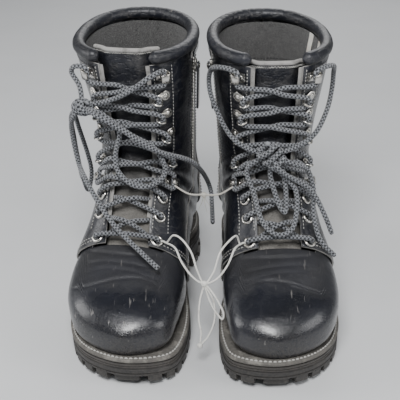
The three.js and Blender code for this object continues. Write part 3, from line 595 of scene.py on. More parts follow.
def build_nickel(tree):
    rubbed = use(tree, wear_group, Scale=180.0, Amount=0.55)["Mask"]
    fine = noise(tree, 2500.0, 4.0)
    colour = blend_colour(tree, math(tree, "MULTIPLY", rubbed, 0.8), (0.66, 0.64, 0.6), (0.3, 0.275, 0.235))
    return {"Base Color": colour, "Roughness": mix_value(tree, rubbed, 0.24, 0.5), "bump": (fine, 0.15, 0.0001)}


def build_lace(tree):
    made = use(tree, braid_group, Strands=6.0, Turns=1.7)
    fuzz = noise(tree, 1800.0, 6.0)
    dark = blend_colour(tree, fuzz, (0.004, 0.0045, 0.006), (0.018, 0.019, 0.023))
    colour = blend_colour(tree, math(tree, "MULTIPLY", made["Fleck"], 0.9), dark, (0.27, 0.28, 0.3))
    return {"Base Color": colour, "bump": (math(tree, "ADD", made["Height"], fuzz), 0.6, 0.0004)}


def thread(pale, grey):
    """Waxed thread: short fibres along the twist, greyed in patches; it needs no UV map."""
    def build(tree):
        fibres = noise(tree, 2200.0, 4.0)
        soiled = use(tree, wear_group, Scale=150.0, Amount=0.5)["Mask"]
        colour = blend_colour(tree, math(tree, "MULTIPLY", soiled, 0.7), pale, grey)
        return {"Base Color": blend_colour(tree, fibres, colour, grey), "bump": (fibres, 0.5, 0.0002)}
    return build


def cotton(pale, grey):
    """Twisted cotton: slanting strands from the UV map, greyed in patches."""
    def build(tree):
        made = use(tree, braid_group, Strands=3.0)
        soiled = use(tree, wear_group, Scale=150.0, Amount=0.5)["Mask"]
        colour = blend_colour(tree, math(tree, "MULTIPLY", soiled, 0.7), pale, grey)
        return {"Base Color": colour, "bump": (made["Height"], 0.5, 0.0003)}
    return build


cut_edge = finish("cut_edge", build_cut_edge, Roughness=0.9)
tongue_leather = finish("tongue_leather", build_tongue, Specular_IOR_Level=0.4)
welt_leather = finish("welt_leather", build_welt, Roughness=0.85)
sole_rubber = finish("sole_rubber", rubber((0.014, 0.014, 0.015), 0.4), Specular_IOR_Level=0.4)
midsole_rubber = finish("midsole_rubber", rubber((0.022, 0.021, 0.021), 0.55), Specular_IOR_Level=0.4)
felt = finish("felt", build_felt, Roughness=0.97, Sheen_Weight=0.12, Sheen_Roughness=0.5)
zip_cloth = finish("zip_cloth", build_zip_cloth, Roughness=0.85, Sheen_Weight=0.2)
nickel = finish("nickel", build_nickel, Metallic=1.0)
lace_cloth = finish("lace_cloth", build_lace, Roughness=0.8, Sheen_Weight=0.25, Sheen_Roughness=0.4)
grey_cotton = finish("grey_cotton", cotton((0.52, 0.5, 0.45), (0.3, 0.28, 0.24)), Roughness=0.95)
white_cotton = finish("white_cotton", cotton((0.74, 0.73, 0.69), (0.42, 0.4, 0.36)), Roughness=0.9)
pale_thread = finish("pale_thread", thread((0.66, 0.65, 0.61), (0.2, 0.195, 0.19)), Roughness=0.9)
dark_thread = finish("dark_thread", thread((0.035, 0.035, 0.037), (0.012, 0.012, 0.012)), Roughness=0.8)
blank_label = finish("blank_label", cotton((0.78, 0.76, 0.7), (0.6, 0.32, 0.16)), Roughness=0.9)
print("finishes", len(bpy.data.materials))

# %% [markdown]
# ## Laces
# A round boot lace is a braided tube a few millimetres thick. One lace runs from the knot down one side through
# hooks, rings and eyelets, across the throat, and back up the other side. A curve object could draw it, but a
# mesh tube worked out here can also rise and fall with the braid. The route is a short list of points, each a
# place that really holds the lace, and a centripetal Catmull-Rom spline rounds the turns between them.

# %% Routes and tubes
def arc_along(path):
    """The distance from a path's start to each of its points."""
    return np.concatenate([[0], np.cumsum(np.linalg.norm(np.diff(path, axis=0), axis=1))])


def resample(path, step):
    """Points an equal distance apart along a path."""
    arc = arc_along(path)
    even = np.linspace(0, arc[-1], max(3, int(round(arc[-1] / step)) + 1))
    return np.stack([np.interp(even, arc, path[:, k]) for k in range(3)], -1)


def smooth_path(points, step, fine=24):
    """Centripetal Catmull-Rom: knots are spaced by the square root of distance, then three rounds of blending."""
    p = np.asarray(points, float)
    p = np.concatenate([[2 * p[0] - p[1]], p, [2 * p[-1] - p[-2]]])
    knots = np.concatenate([[0], np.cumsum(np.maximum(np.linalg.norm(np.diff(p, axis=0), axis=1), 1e-6) ** 0.5)])
    t = np.concatenate([np.linspace(a, b, fine, endpoint=False) for a, b in zip(knots[1:-2], knots[2:-1])])
    t = np.append(t, knots[-2])
    i = np.clip(np.searchsorted(knots, t, side="right") - 1, 1, len(p) - 3)
    k = [knots[i + d][:, None] for d in (-1, 0, 1, 2)]
    q = [p[i + d] for d in (-1, 0, 1, 2)]
    t = t[:, None]
    first = [mix(q[j], q[j + 1], (t - k[j]) / (k[j + 1] - k[j])) for j in range(3)]
    second = [mix(first[j], first[j + 1], (t - k[j]) / (k[j + 2] - k[j])) for j in range(2)]
    return resample(mix(second[0], second[1], (t - k[1]) / (k[2] - k[1])), step)


def path_frames(path):
    """Two directions square to a path at each point, carried along it without twist."""
    tangent = unit(np.gradient(path, axis=0))
    side = np.zeros_like(path)
    side[0] = unit(np.cross(tangent[0], [0.3, 0.2, 0.93]))
    for k in range(1, len(path)):
        side[k] = side[k - 1] - tangent[k] * (side[k - 1] @ tangent[k])
        side[k] /= np.linalg.norm(side[k])
    return side, np.cross(tangent, side)


def grid_corners(n, m, wrap_n=False, wrap_m=False):
    """The unwrapped grid numbers of each quad's corners, from which a UV map is scaled."""
    a, b = np.meshgrid(np.arange(n if wrap_n else n - 1), np.arange(m if wrap_m else m - 1), indexing="ij")
    return np.stack([np.stack(c, -1) for c in ((a, b), (a + 1, b), (a + 1, b + 1), (a, b + 1))], -2).reshape(-1, 4, 2)


def tube(path, radius, sides=16, relief=0.0, strands=4, pitch=3.6, ends=None):
    """A round tube along a path. Its radius is r (1 + relief (h - 1)), where h is the higher of the two strand waves
    sin 2pi(n v + u) and sin 2pi(n v - u). ends scales the radius by place along the path. Returns points, faces, UV."""
    n = len(path)
    side, other = path_frames(path)
    arc = arc_along(path) / pitch
    around = np.arange(sides) / sides
    p = 2 * np.pi * (strands * around[None] + arc[:, None])
    q = 2 * np.pi * (strands * around[None] - arc[:, None])
    rise = 1 + relief * (np.maximum(np.sin(p), np.sin(q)) - 1)
    r = radius * rise * (np.ones(n) if ends is None else ends)[:, None]
    c, s = np.cos(2 * np.pi * around)[None, :, None], np.sin(2 * np.pi * around)[None, :, None]
    points = path[:, None] + r[..., None] * (c * side[:, None] + s * other[:, None])
    points = np.concatenate([points.reshape(-1, 3), path[:1], path[-1:]])
    quads = grid_faces(n, sides, wrap_m=True)
    ring = np.arange(sides)
    turn = (ring + 1) % sides
    head = np.stack([np.full(sides, n * sides), ring, turn], -1)
    tail = np.stack([np.full(sides, n * sides + 1), turn + (n - 1) * sides, ring + (n - 1) * sides], -1)
    uv = grid_corners(n, sides, wrap_m=True) * [1.0, 1 / sides]
    uv[..., 0] = arc[np.minimum(uv[..., 0].astype(int), n - 1)]
    return points, [quads, np.concatenate([head, tail])], [uv, np.zeros((2 * sides, 3, 2))]


def path_length(path):
    """Length of a path."""
    return float(np.linalg.norm(np.diff(path, axis=0), axis=1).sum())


LACE = 4.6
laid_cords = []


def lay_cord(name, path, diameter, material, slot, far_end, lay, replaces=(), with_pieces=(), stiffness="limp",
             step=0.75, relief=0.1, sides=16, strands=4, pitch=3.0):
    """A cord along a path in pair metres, with its braid in the mesh."""
    line = resample(path, step * MM)
    ends = np.clip(0.75 + np.minimum(np.arange(len(line)), np.arange(len(line))[::-1]) * 0.125, 0, 1)
    points, faces, uv = tube(line, diameter / 2 * MM * (1 + relief * 0.3), sides, relief, strands, pitch * MM, ends)
    cord = make_piece(name, points, faces, material, uv=uv, sharp=0, replaces=replaces)
    length = round(path_length(line), 4)
    laid_cords.append((name, length))
    return cord


# %% Rows of lacing, from the throat up: three eyelets, the ankle hook, four rings and the top hook
ROWS = [3.2, 3.78, 4.33, 4.97, 6.5, 8.05, 8.75, 9.25, 9.72]
QUARTER_OUT = 2.5
BASE = QUARTER_OUT + 1.1
EYELET_REACH, FACING_REACH, RIVET_REACH, RING_REACH = 27, 19.5, 31, 22
RING_TILT, RING_HEIGHT = 0.3, 6.4


def facing(u):
    """The v of the lacing edge, which spreads a little toward the collar."""
    return reach(u, FACING_REACH + 3 * ease(7, COLLAR, u))


def through_row(row, side):
    """The points where the lace goes through a row, in the direction of travel."""
    u = ROWS[row]
    if row < 3:
        edge = spot(u + (0.1 if row == 0 else -0.1), side * (FACING_REACH + 0.5), -3.2)
        hole = [spot(u, side * EYELET_REACH, -3.0), spot(u, side * EYELET_REACH, 6.6)]
        return [*hole[::-1], edge] if row == 0 else [edge, *hole]
    if row in (3, 8):
        frame_here = on_surface(u, reach(u, side * (RIVET_REACH - (2 if row == 3 else 1))), BASE)
        return list(apply(frame_here, [[0, -6.5, 4.8], [0, 0, 4.6], [0, 6.5, 4.8]]))
    frame_here = on_surface(u, reach(u, side * RIVET_REACH), BASE)
    middle = np.array([-side * (RIVET_REACH - RING_REACH + 3.2), -1.5, RING_HEIGHT])
    axis = np.array([0, np.cos(RING_TILT), np.sin(RING_TILT)]) * 4.2
    return list(apply(frame_here, [middle - axis, middle + axis]))


def lacing_strand(first_side):
    """One half of the lace from the throat to the top hook, crossing over or under the other half between rows."""
    path, side = [], first_side
    for row in range(len(ROWS)):
        path += through_row(row, side)
        if row == len(ROWS) - 1:
            return path
        height = 8.6 if first_side > 0 else 4.0
        middle = (ROWS[row] + ROWS[row + 1]) / 2
        crossing = [spot(middle - 0.05, side * 5, height), spot(middle + 0.05, -side * 5, height)]
        if row in (2, 3):
            edges = [spot(mix(ROWS[row], ROWS[row + 1], share), end * 17, 8.8)
                     for end, share in ((side, 0.25), (-side, 0.75))]
            path += [edges[0], *crossing, edges[1]]
        else:
            path += crossing
        side = -side


# The hand-tied bow of each boot: [station, millimetres across, height off the leather].
BOWS = {
    "right": {
        "knot": (9.12, -26, 23.5, 24, 17), "lift": 7.0,
        "top_inner": [[9.86, 20, 14], [9.6, 8, 15], [9.36, -6, 15]],
        "top_outer": [[9.9, -36, 14], [9.75, -38, 16], [9.5, -32, 16]],
        "big_loop": [[8.95, -14, 14], [8.4, -5, 12], [6.6, -8, 12], [5.1, -7, 12], [4.55, 2, 12], [4.45, 10, 12],
                     [4.75, 18, 12], [5.5, 19, 13], [7.3, 15, 14], [8.4, 3, 18], [9.0, -12, 18]],
        "small_loop": [[8.9, -34, 16], [8.3, -42, 15], [6.3, -43, 15], [5.1, -41, 14], [5.0, -36, 14], [5.6, -37, 19],
                       [7.6, -38, 21], [8.9, -32, 20]],
        "first_end": [[8.85, -30, 22], [8.3, -34, 22], [6.0, -31, 21], [4.6, -25, 18], [3.85, -18, 15], [3.25, -6, 12],
                      [2.72, 12, 7], [2.35, 31, 5]],
        "second_end": [[9.05, -14, 23], [8.7, -4, 21], [7.6, 14, 20], [6.6, 30, 19], [5.7, 39, 17], [4.8, 41, 20],
                       [4.2, 43, 22]],
    },
    "left": {
        "knot": (6.9, 3, 22.2, 27, 23), "lift": 4.6,
        "top_inner": [[9.9, 42, 12], [9.62, 47, 11], [9.3, 46, 12], [8.95, 40, 14], [8.2, 28, 16], [7.5, 18, 16]],
        "top_outer": [[9.9, -42, 12], [9.6, -46, 11], [9.25, -45, 12], [8.85, -38, 14], [8.2, -26, 16],
                      [7.4, -12, 16]],
        "big_loop": [[6.3, 12, 16], [5.6, 16, 14], [4.4, 16, 13], [3.45, 13, 12], [3.15, 3, 12], [3.3, -8, 12],
                     [3.8, -12, 13], [4.4, -11, 14], [5.2, -2, 18], [6.2, 4, 20]],
        "small_loop": [[6.2, 2, 15], [5.2, 4, 12], [4.4, 3, 10], [3.85, -1, 9.5], [3.75, -4, 9.5], [4.2, -5.5, 10],
                       [4.9, -5, 12], [6.1, -3, 15]],
        "first_end": [[6.0, 0, 24], [5.0, -4, 22], [4.3, -19, 19], [3.6, -31, 16], [3.3, -37, 13]],
        "second_end": [[6.2, -9, 22], [5.4, -16, 19], [4.4, -22, 15], [3.7, -24, 12], [3.1, -31, 9], [2.85, -42, 7]],
    },
}


def places(rows, lift=0.0):
    """Boot points of a list of [station, across, height]."""
    return [spot(u, across, height + lift) for u, across, height in rows]


def knot_windings(width, height, turns, tilt):
    """A coil: the angle turns at an even rate while the coil moves across."""
    t = np.linspace(0, 1, 40 * turns)
    angle = 2 * np.pi * turns * t
    x = (t - 0.5) * (width - LACE) * (1 - 0.12 * np.cos(angle))
    swell = np.sqrt(np.maximum(0.25, 1 - (2 * t - 1) ** 2 * 0.6))
    y = np.cos(angle) * (height / 2 - LACE / 2) * swell
    z = np.sin(angle) * 5.6 * swell
    c, s = np.cos(tilt), np.sin(tilt)
    return np.stack([x * c - y * s, x * s + y * c, z], -1)


# %% Lay the laces, the bows and their knots
for side in SIDES:
    bow = BOWS[side]
    knot_u, knot_across, knot_offset, knot_width, knot_height = bow["knot"]
    knot_frame = on_surface(knot_u, reach(knot_u, knot_across), knot_offset)
    heart = apply(knot_frame, [0, 0, 0])
    left_half, right_half = lacing_strand(-1), lacing_strand(1)
    bar = [spot(ROWS[0], 9, 7.6), spot(ROWS[0], -9, 7.6)]
    tops = {}
    for half, last in (("left", left_half[-1]), ("right", right_half[-1])):
        tops[half] = places(bow["top_inner" if last[0] > 0 else "top_outer"])
    whole = [heart, *tops["right"][::-1], *right_half[::-1], *bar, *left_half, *tops["left"], heart]
    lay_cord(f"{side}_lace", stand(smooth_path(whole, 0.9), side), LACE, lace_cloth, "lace_cord", "object", "taut",
             replaces=[f"{side}_lacing"])
    windings = knot_windings(knot_width, knot_height, 4 if side == "right" else 3, 0.25 if side == "right" else 0.7)
    wrap = apply(knot_frame, resample(windings, 0.9))
    points, faces, uv = tube(stand(wrap, side), LACE / 2 * MM * 1.03, 16, 0.1, 4, 3.0 * MM)
    knot = make_piece(f"{side}_knot", points, faces, lace_cloth, uv=uv, sharp=0)
    for label in ("big_loop", "small_loop"):
        path = smooth_path([heart, *places(bow[label], bow["lift"]), heart], 0.9)
        lay_cord(f"{side}_{label}", stand(path, side), LACE, lace_cloth, "lace_cord", "object", "loose",
                 with_pieces=[knot] if label == "big_loop" else (), replaces=[f"{side}_bow"])
    for label in ("first_end", "second_end"):
        path = stand(smooth_path([heart, *places(bow[label], bow["lift"])], 0.9), side)
        tip = path[-17:]
        taper = np.interp(np.arange(len(tip)), [0, 1, len(tip) - 2, len(tip) - 1], [0.9, 1.0, 0.8, 0.55])
        points, faces, uv = tube(tip + (tip[-1] - tip[-2]) * 0.6, 2.15 * MM, 14, 0, ends=taper)
        aglet = make_piece(f"{side}_{label}_aglet", points, faces, sole_rubber, sharp=30)
        lay_cord(f"{side}_{label}", path, LACE, lace_cloth, "lace_cord", "fitting", "hanging", with_pieces=[aglet])
print([(name, round(length, 3)) for name, length in laid_cords])

# %% [markdown]
# ## The white strings
# The two boots are tied together by the inner throat eyelets, as a shop or a finder does, with thin cotton
# string. It hangs in bights between the toes and ends in a small knot. A greyer string with a frayed knot joins
# the ankles. These are limp, so each point of the route lies lower than a stiff cord's would.

# %% Strings
tie_from = stand(spot(ROWS[0], EYELET_REACH + 6.5, 3.5), "right")
tie_to = stand(spot(ROWS[0], EYELET_REACH + 6.5, 3.5), "left")
tie_middle = (tie_from + tie_to) / 2
# From inside the eyelet's hole, up beside the lace and over the rolled edge of the ring.
OVER_RING = [(2.5, 0.5), (2.8, 3.8), (4.5, 5.4), (6.8, 4.6)]
leave, enter = ([stand(spot(ROWS[0], EYELET_REACH + away, height), side) for away, height in OVER_RING]
                for side in SIDES)


def near_middle(*offset):
    """A point so many millimetres from the middle of the tie."""
    return tie_middle + np.array(offset) * MM


def small_knot(name, centre, radius, material, turns=3):
    """A knot of thin string: a curve wound on a ball, radius (1, 1, 0.8), with angles t and 2.3 t."""
    t = np.linspace(0, 2 * np.pi * turns, 90)
    ball = np.stack([np.cos(t) * np.sin(2.3 * t + 0.4), np.sin(t) * np.sin(2.3 * t + 0.4), 0.8 * np.cos(2.3 * t)], -1)
    points, faces, uv = tube(centre + ball * radius * 0.62 * MM, radius * 0.36 * MM, 8, 0.05, 3, 1.4 * MM)
    return make_piece(name, points, faces, material, uv=uv, sharp=0)


string_look = dict(diameter=1.8, slot="white_string", step=0.6, relief=0.08, sides=10, strands=3, pitch=2.2)
CROSSING, TAIL_END = (1, -34, -22), (-3, -66, -66)
span = [*leave, near_middle(-27, -6, 12), near_middle(-20, -14, 13), near_middle(-11, -24, 5),
        near_middle(-5, -30, -12), near_middle(*CROSSING), near_middle(9, -31, -12), near_middle(15, -25, 5),
        near_middle(24, -15, 12), near_middle(30, -7, 12), *enter[::-1]]
low_span = [*leave, near_middle(-25, -16, 4), near_middle(-19, -26, -5), near_middle(-9, -33, -16),
            near_middle(*CROSSING), near_middle(12, -34, -17), near_middle(22, -26, -7), near_middle(28, -16, 3),
            *enter[::-1]]
bight = [near_middle(*CROSSING), near_middle(4, -38, -32), near_middle(10, -46, -42), near_middle(17, -53, -47),
         near_middle(18, -51, -43), near_middle(13, -44, -34), near_middle(6, -37, -26), near_middle(*CROSSING)]
tails = {"tie_tail": [near_middle(*CROSSING), near_middle(9, -40, -36), near_middle(10, -50, -50),
                      near_middle(4, -60, -61), near_middle(*TAIL_END)],
         "tie_second_tail": [near_middle(*CROSSING), near_middle(-3, -40, -36), near_middle(-4, -50, -49),
                             near_middle(-2, -59, -58), near_middle(*TAIL_END)]}
tie_knot = small_knot("tie_knot", near_middle(*CROSSING), 3.2, white_cotton)
end_knot = small_knot("tie_end_knot", near_middle(*TAIL_END), 2.7, white_cotton)
lay_cord("tie_span", smooth_path(span, 0.6 * MM), far_end="object", lay="hanging", replaces=["tie_string"],
         with_pieces=[tie_knot], material=white_cotton, **string_look)
for label, route in (("tie_low_span", low_span), ("tie_bight", bight)):
    lay_cord(label, smooth_path(route, 0.6 * MM), far_end="object", lay="hanging", material=white_cotton,
             **string_look)
for label, tail in tails.items():
    lay_cord(label, smooth_path(tail, 0.6 * MM), far_end="knot", lay="hanging",
             with_pieces=[end_knot] if label == "tie_tail" else (), material=white_cotton, **string_look)

# The ankles are tied too, hook to hook, with a greyer string whose knot has frayed.
ankle_hook = apply(on_surface(ROWS[3], reach(ROWS[3], RIVET_REACH - 2), BASE), [0, -4, 6.2])
ankle_from, ankle_to = stand(ankle_hook, "right"), stand(ankle_hook, "left")
ankle_middle = (ankle_from + ankle_to) / 2 + np.array([0, -4, -7]) * MM
ankle = [ankle_from, mix(ankle_from, ankle_middle, 0.5) + np.array([0, -4, -2]) * MM, ankle_middle,
         mix(ankle_middle, ankle_to, 0.5) + np.array([0, -4, -2]) * MM, ankle_to]
ankle_knot = small_knot("ankle_knot", ankle_middle, 3.0, grey_cotton)
lay_cord("ankle_tie", smooth_path(ankle, 0.6 * MM), far_end="object", lay="hanging", with_pieces=[ankle_knot],
         material=grey_cotton, **string_look)
for number, sway in enumerate(((-5, -3, -14), (3, -5, -16), (7, -1, -13))):
    fray = smooth_path([ankle_middle, ankle_middle + np.array(sway) * [0.3, 1, 0.4] * MM,
                        ankle_middle + np.array(sway) * MM], 0.6 * MM)
    points, faces, uv = tube(fray, 0.45 * MM, 6, 0, ends=np.linspace(1, 0.3, len(fray)))
    make_piece(f"ankle_fray_{number + 1}", points, faces, grey_cotton, uv=uv, sharp=0)
print("strings laid", laid_cords[-6:])

# %% [markdown]
# ## Leather panels
# A boot's upper is cut flat, skived thin at the edges and pulled over the last. Each panel here is a patch of the
# last's surface between two edge lines, given thickness as a closed shell. Simulating it as cloth would lose
# the lasted shape, so the wrinkles are worked in like a sculptor's dents: flex creases run across the toes where the
# foot bends, soft folds ring the ankle, and low waves keep the shaft from looking turned on a lathe.

# %% Wrinkles and panels
FLEX_CREASES = [(2.12, 0.10, 0.8, 0.4), (2.36, 0.08, 0.45, 1.9), (2.58, 0.07, 0.5, 3.1), (2.85, 0.06, 0.4, 5.0)]


def rumple(u, v):
    """Millimetres in or out: flex creases are narrow dips along wavy lines of u, ankle folds are broad waves, and
    slow sines in u and v make the leather uneven."""
    u, v = np.broadcast_arrays(np.asarray(u, float), np.asarray(v, float))
    out = 0.35 * np.sin(2.3 * u + 3 * np.pi * v) + 0.3 * np.sin(3.7 * u - 2 * np.pi * v + 1)
    out = out * ease(0.8, 1.8, u)
    for at, wave, deep, phase in FLEX_CREASES:
        line = at + wave * np.sin(3.3 * np.pi * v + phase) + 0.03 * np.sin(11 * v + 2 * phase)
        strength = ease(0.4, 0.08, np.abs(v + 0.07 * np.sin(3 * phase)))
        out = out - deep * strength * np.exp(-((u - line) / 0.045) ** 2)
        out = out + 0.45 * deep * strength * np.exp(-((u - line - 0.1) / 0.07) ** 2)
    folds = np.sin(8.5 * u + 2.2 * np.sin(2 * np.pi * v) + 1.5) * ease(4.6, 5.2, u) * ease(7.6, 6.6, u)
    out = out + 0.75 * folds * ease(0.2, 0.32, np.abs(v)) * ease(0.98, 0.8, np.abs(v))
    shaft = np.sin(2.1 * u - 5 * np.pi * v) * ease(7, 8, u) * ease(0.24, 0.36, np.abs(v))
    near_zip = np.exp(-((np.abs(v) - 0.5) / 0.07) ** 2) * ease(6.0, 6.8, u)
    return (out + 0.5 * shaft) * (1 - np.where(v > 0, near_zip, 0))


def patch_lines(ends, sides, rows, columns):
    """u and v of a patch between ends(v), its first and last station, and sides(u), its two edges; found in a few
    rounds, because each pair of edges depends on the other coordinate. Lines crowd toward the edges."""
    r = (1 - np.cos(np.pi * np.linspace(0, 1, rows))) / 2 * 0.35 + np.linspace(0, 1, rows) * 0.65
    c = (1 - np.cos(np.pi * np.linspace(0, 1, columns))) / 2 * 0.35 + np.linspace(0, 1, columns) * 0.65
    r, c = np.broadcast_arrays(r[:, None], c[None, :])
    u = mix(*ends(np.zeros_like(r)), r)
    for _ in range(8):
        low, high = sides(u)
        v = mix(low, high, c)
        low, high = ends(v)
        u = mix(low, high, r)
    return u, v, r, c


def shell(outer, inner, folded=False):
    """A closed skin between two grids of points: faces and tags, where tag 1 is the cut edge all round."""
    n, m = outer.shape[:2]
    points = np.concatenate([outer.reshape(-1, 3), inner.reshape(-1, 3)])
    faces, tags = [grid_faces(n, m), grid_faces(n, m, start=n * m)[:, ::-1]], [0, 0]
    index = np.arange(n * m).reshape(n, m)
    borders = [index[:, 0][::-1], index[:, -1], index[-1][::-1]]
    if not folded:
        borders.append(index[0])
    for line in borders:
        faces.append(np.stack([line[:-1], line[1:], line[1:] + n * m, line[:-1] + n * m], -1)[:, ::-1])
        tags.append(1)
    counts = [len(f) for f in faces]
    return points, faces, np.repeat(tags, counts)


def weld(piece, distance=1e-6):
    """Joins points that lie together, as along the fold at a toe tip."""
    import bmesh
    work = bmesh.new()
    work.from_mesh(piece.data)
    bmesh.ops.remove_doubles(work, verts=work.verts, dist=distance)
    bmesh.ops.dissolve_degenerate(work, dist=distance, edges=work.edges)
    work.to_mesh(piece.data)
    work.free()


def panel(name, side, ends, sides, outer, inner, rows, columns, material, slot="black_leather", folded=False,
          edge_round=0.45, replaces=True, extra=None, uv_scale=None, edge=None):
    """A leather panel: a patch of the last from offset inner to offset outer, with its edges rounded over."""
    u, v, r, c = patch_lines(ends, sides, rows, columns)
    lift_out = outer(u, v) if callable(outer) else np.full_like(u, outer)
    lift_in = inner(u, v) if callable(inner) else np.full_like(u, inner)
    wrinkle = rumple(u, v) if extra is None else extra(u, v)
    near_side = np.minimum(np.minimum(c, 1 - c) * columns / 3, 1)
    near_end = np.minimum((1 - r if folded else np.minimum(r, 1 - r)) * rows / 3, 1)
    drop = edge_round * (1 - near_side * near_end) ** 2
    outside = stand(surface(u, v, lift_out + wrinkle - drop), side)
    inside = stand(surface(u, v, lift_in + wrinkle), side)
    points, faces, tags = shell(outside, inside, folded)
    uv = None
    if uv_scale:
        corners = [grid_corners(rows, columns) / [rows, columns] * uv_scale] * 2
        uv = corners + [np.zeros((len(f), 4, 2)) for f in faces[2:]]
    piece = make_piece(f"{side}_{name}_leather" if slot == "black_leather" else f"{side}_{name}_piece", points, faces,
                       [material, edge or cut_edge], tags=tags, uv=uv,
                       replaces=[f"{side}_{name}"] if replaces else ())
    if folded:
        weld(piece)
    return piece


def lower_at(u):
    """The v of the upper's lasted lower edge."""
    return mix(0.83, 0.88, ease(2.6, 4.4, u))


def low_edge(u):
    """The lower edge, running on to the back seam behind the heel."""
    return mix(lower_at(u), 0.992, ease(4.6, 6.6, u))


def seam(v):
    """The station of the quarters' front edge, which curves back and down from the throat."""
    return 3.05 + 0.25 * ease(0.25, 0.8, np.abs(v))


def zip_gap(u):
    """Half the opening for the zip, closed below its lower end."""
    return mix(0.003, 0.036, ease(ZIP_FROM - 0.35, ZIP_FROM, u))


def between(low, high):
    """Two limits that stay the same all along a panel, for its ends or its sides."""
    return lambda place: (low + 0 * place, high + 0 * place)


QUARTER_SIDES = {
    "quarter_outer": lambda u: (-low_edge(u), -facing(u)),
    "quarter_inner_front": lambda u: (facing(u), ZIP_V - zip_gap(u)),
    "quarter_inner_back": lambda u: (ZIP_V + zip_gap(u), low_edge(u)),
}
LAYER = 0.5
PATCH_IN = QUARTER_OUT + LAYER + 0.35
PATCH_OUT = PATCH_IN + 1.4
for side in SIDES:
    panel("vamp", side, lambda v: (0 * v, mix(3.02, 3.75, ease(0.21, 0.27, np.abs(v)))),
          lambda u: (-lower_at(u), lower_at(u)), lambda u, v: -0.7 * ease(2.85, 3.1, u), -2.0, 190, 130, boot_leather,
          folded=True)
    for name, sides in QUARTER_SIDES.items():
        columns = {"quarter_outer": 110, "quarter_inner_front": 60, "quarter_inner_back": 64}[name]
        panel(name, side, lambda v: (seam(v), COLLAR + 0 * v), sides, QUARTER_OUT, LAYER, 150, columns, shaft_leather)
    panel("heel_counter", side, between(5.95, 8.1),
          lambda u: (1 - mix(0.42, 0.3, ease(5.7, 8.1, u)), 1 + mix(0.42, 0.3, ease(5.7, 8.1, u))),
          PATCH_OUT, PATCH_IN, 60, 90, boot_leather, extra=lambda u, v: 0.5 * rumple(u, v))
    panel("backstay", side, between(8.16, COLLAR), between(0.955, 1.045),
          PATCH_OUT, PATCH_IN, 60, 14, boot_leather)
    panel("zip_garage", side, between(9.83, COLLAR - 0.01), between(ZIP_V - 0.085, ZIP_V + 0.085),
          PATCH_IN + 1.9, PATCH_IN + 0.4, 12, 30, boot_leather)
    for sign, label in ((-1, "outer"), (1, "inner")):
        panel(f"facing_{label}", side, between(3.7, 9.97),
              lambda u: tuple(sorted((sign * (facing(u) - 0.02), sign * (facing(u) + 0.05)), key=np.mean)), 0.35, -0.65,
              150, 8, cut_edge, edge_round=0.2, replaces=False)
print("panels made")

# %% [markdown]
# ## Tongue, lining and collar
# The tongue is a long soft strip under the lacing, rubbed pale where the laces bear on it, with a bound top edge.
# The shaft is lined with grey felt, and foam is sewn into the collar roll, which gathers between its stitches. The
# roll is swept along the collar line, and its radius falls in at each stitch as padding does.

# %% Tongue and lining
TONGUE_TOP = {"right": 10.42, "left": 10.05}


def tongue_top_side(u, v):
    """Offset of the tongue's face: it dips under the leather edges."""
    half = along(HALF, u, False)
    under = ease(14, 26, np.abs(v) * np.pi * half)
    return mix(-2.8, mix(-5.6, -8.4, under), ease(2.92, 3.1, u))


def tongue_sides(u):
    """The tongue's two edges, which widen up the instep."""
    half = mix(22, 35, ease(2.8, 6, u))
    return reach(u, -half), reach(u, half)


def tongue_wave(u, v):
    """Cross folds of the soft tongue and a groove down its middle."""
    return 0.5 * np.sin(9 * u + 6 * v) * ease(3.4, 4, u) - 0.5 * np.exp(-(v / 0.02) ** 2)


LINING_OUT = -2.4
LINING_FROM = 6.5
for side in SIDES:
    top = TONGUE_TOP[side]
    panel("tongue", side, lambda v: (2.75 + 0 * v, top - 0.12 * (v / 0.25) ** 2), tongue_sides, tongue_top_side,
          lambda u, v: tongue_top_side(u, v) - 2.6, 150, 44, tongue_leather, "tongue_leather", extra=tongue_wave)
    lining = panel("lining", side, between(LINING_FROM, COLLAR - 0.02),
                   lambda u: (facing(u) + 0.02, 2 - facing(u) - 0.02), LINING_OUT, LINING_OUT - 0.9, 40, 120, felt,
                   "grey_textile", extra=lambda u, v: 0.3 * rumple(u, v) - 0.2, edge=felt)
    across = np.linspace(facing(8.2) + 0.02, 2 - facing(8.2) - 0.02, 200)
    width = path_length(surface(8.2, across, LINING_OUT))
    height = path_length(surface(np.linspace(LINING_FROM, 9.98, 60), 1.0, LINING_OUT))
    front = path_length(surface(np.linspace(LINING_FROM, 9.98, 60), 0.1, LINING_OUT))
    print(side, "lining cut to", round(width), "by", round(height), "mm, front", round(front))


# %% Collar rolls
COLLAR_STEP, COLLAR_RADIUS = 0.8, 5.9
for side in SIDES:
    turn = np.linspace(facing(COLLAR), 2 - facing(COLLAR), 500)
    up = unit(surface(COLLAR + 0.1, turn) - surface(COLLAR - 0.1, turn))
    wave = 0.7 * np.sin(7 * turn + 1)
    ring = resample(surface(COLLAR, turn, 0.2) + up * (5.6 + wave)[:, None], COLLAR_STEP)
    arc = np.arange(len(ring)) * COLLAR_STEP
    back = np.exp(-((np.linspace(0, 1, len(ring)) - 0.5) / 0.22) ** 2)
    gather = np.abs(np.sin(np.pi * arc / mix(11.0, 8.5, back))) ** 0.6
    ends = np.sqrt(np.clip(np.minimum(arc, arc[::-1]) / 5, 0.04, 1))
    fullness = 0.93 + 0.07 * mix(1, gather, 0.35 + 0.65 * back)
    points, faces, uv = tube(stand(ring, side), COLLAR_RADIUS * MM, 28, 0, ends=ends * fullness)
    roll = make_piece(f"{side}_collar_roll", points, faces, soft_leather, uv=uv, sharp=0,
                      replaces=[f"{side}_collar_pad"])
    print(side, "collar", round(path_length(ring)), "mm long")

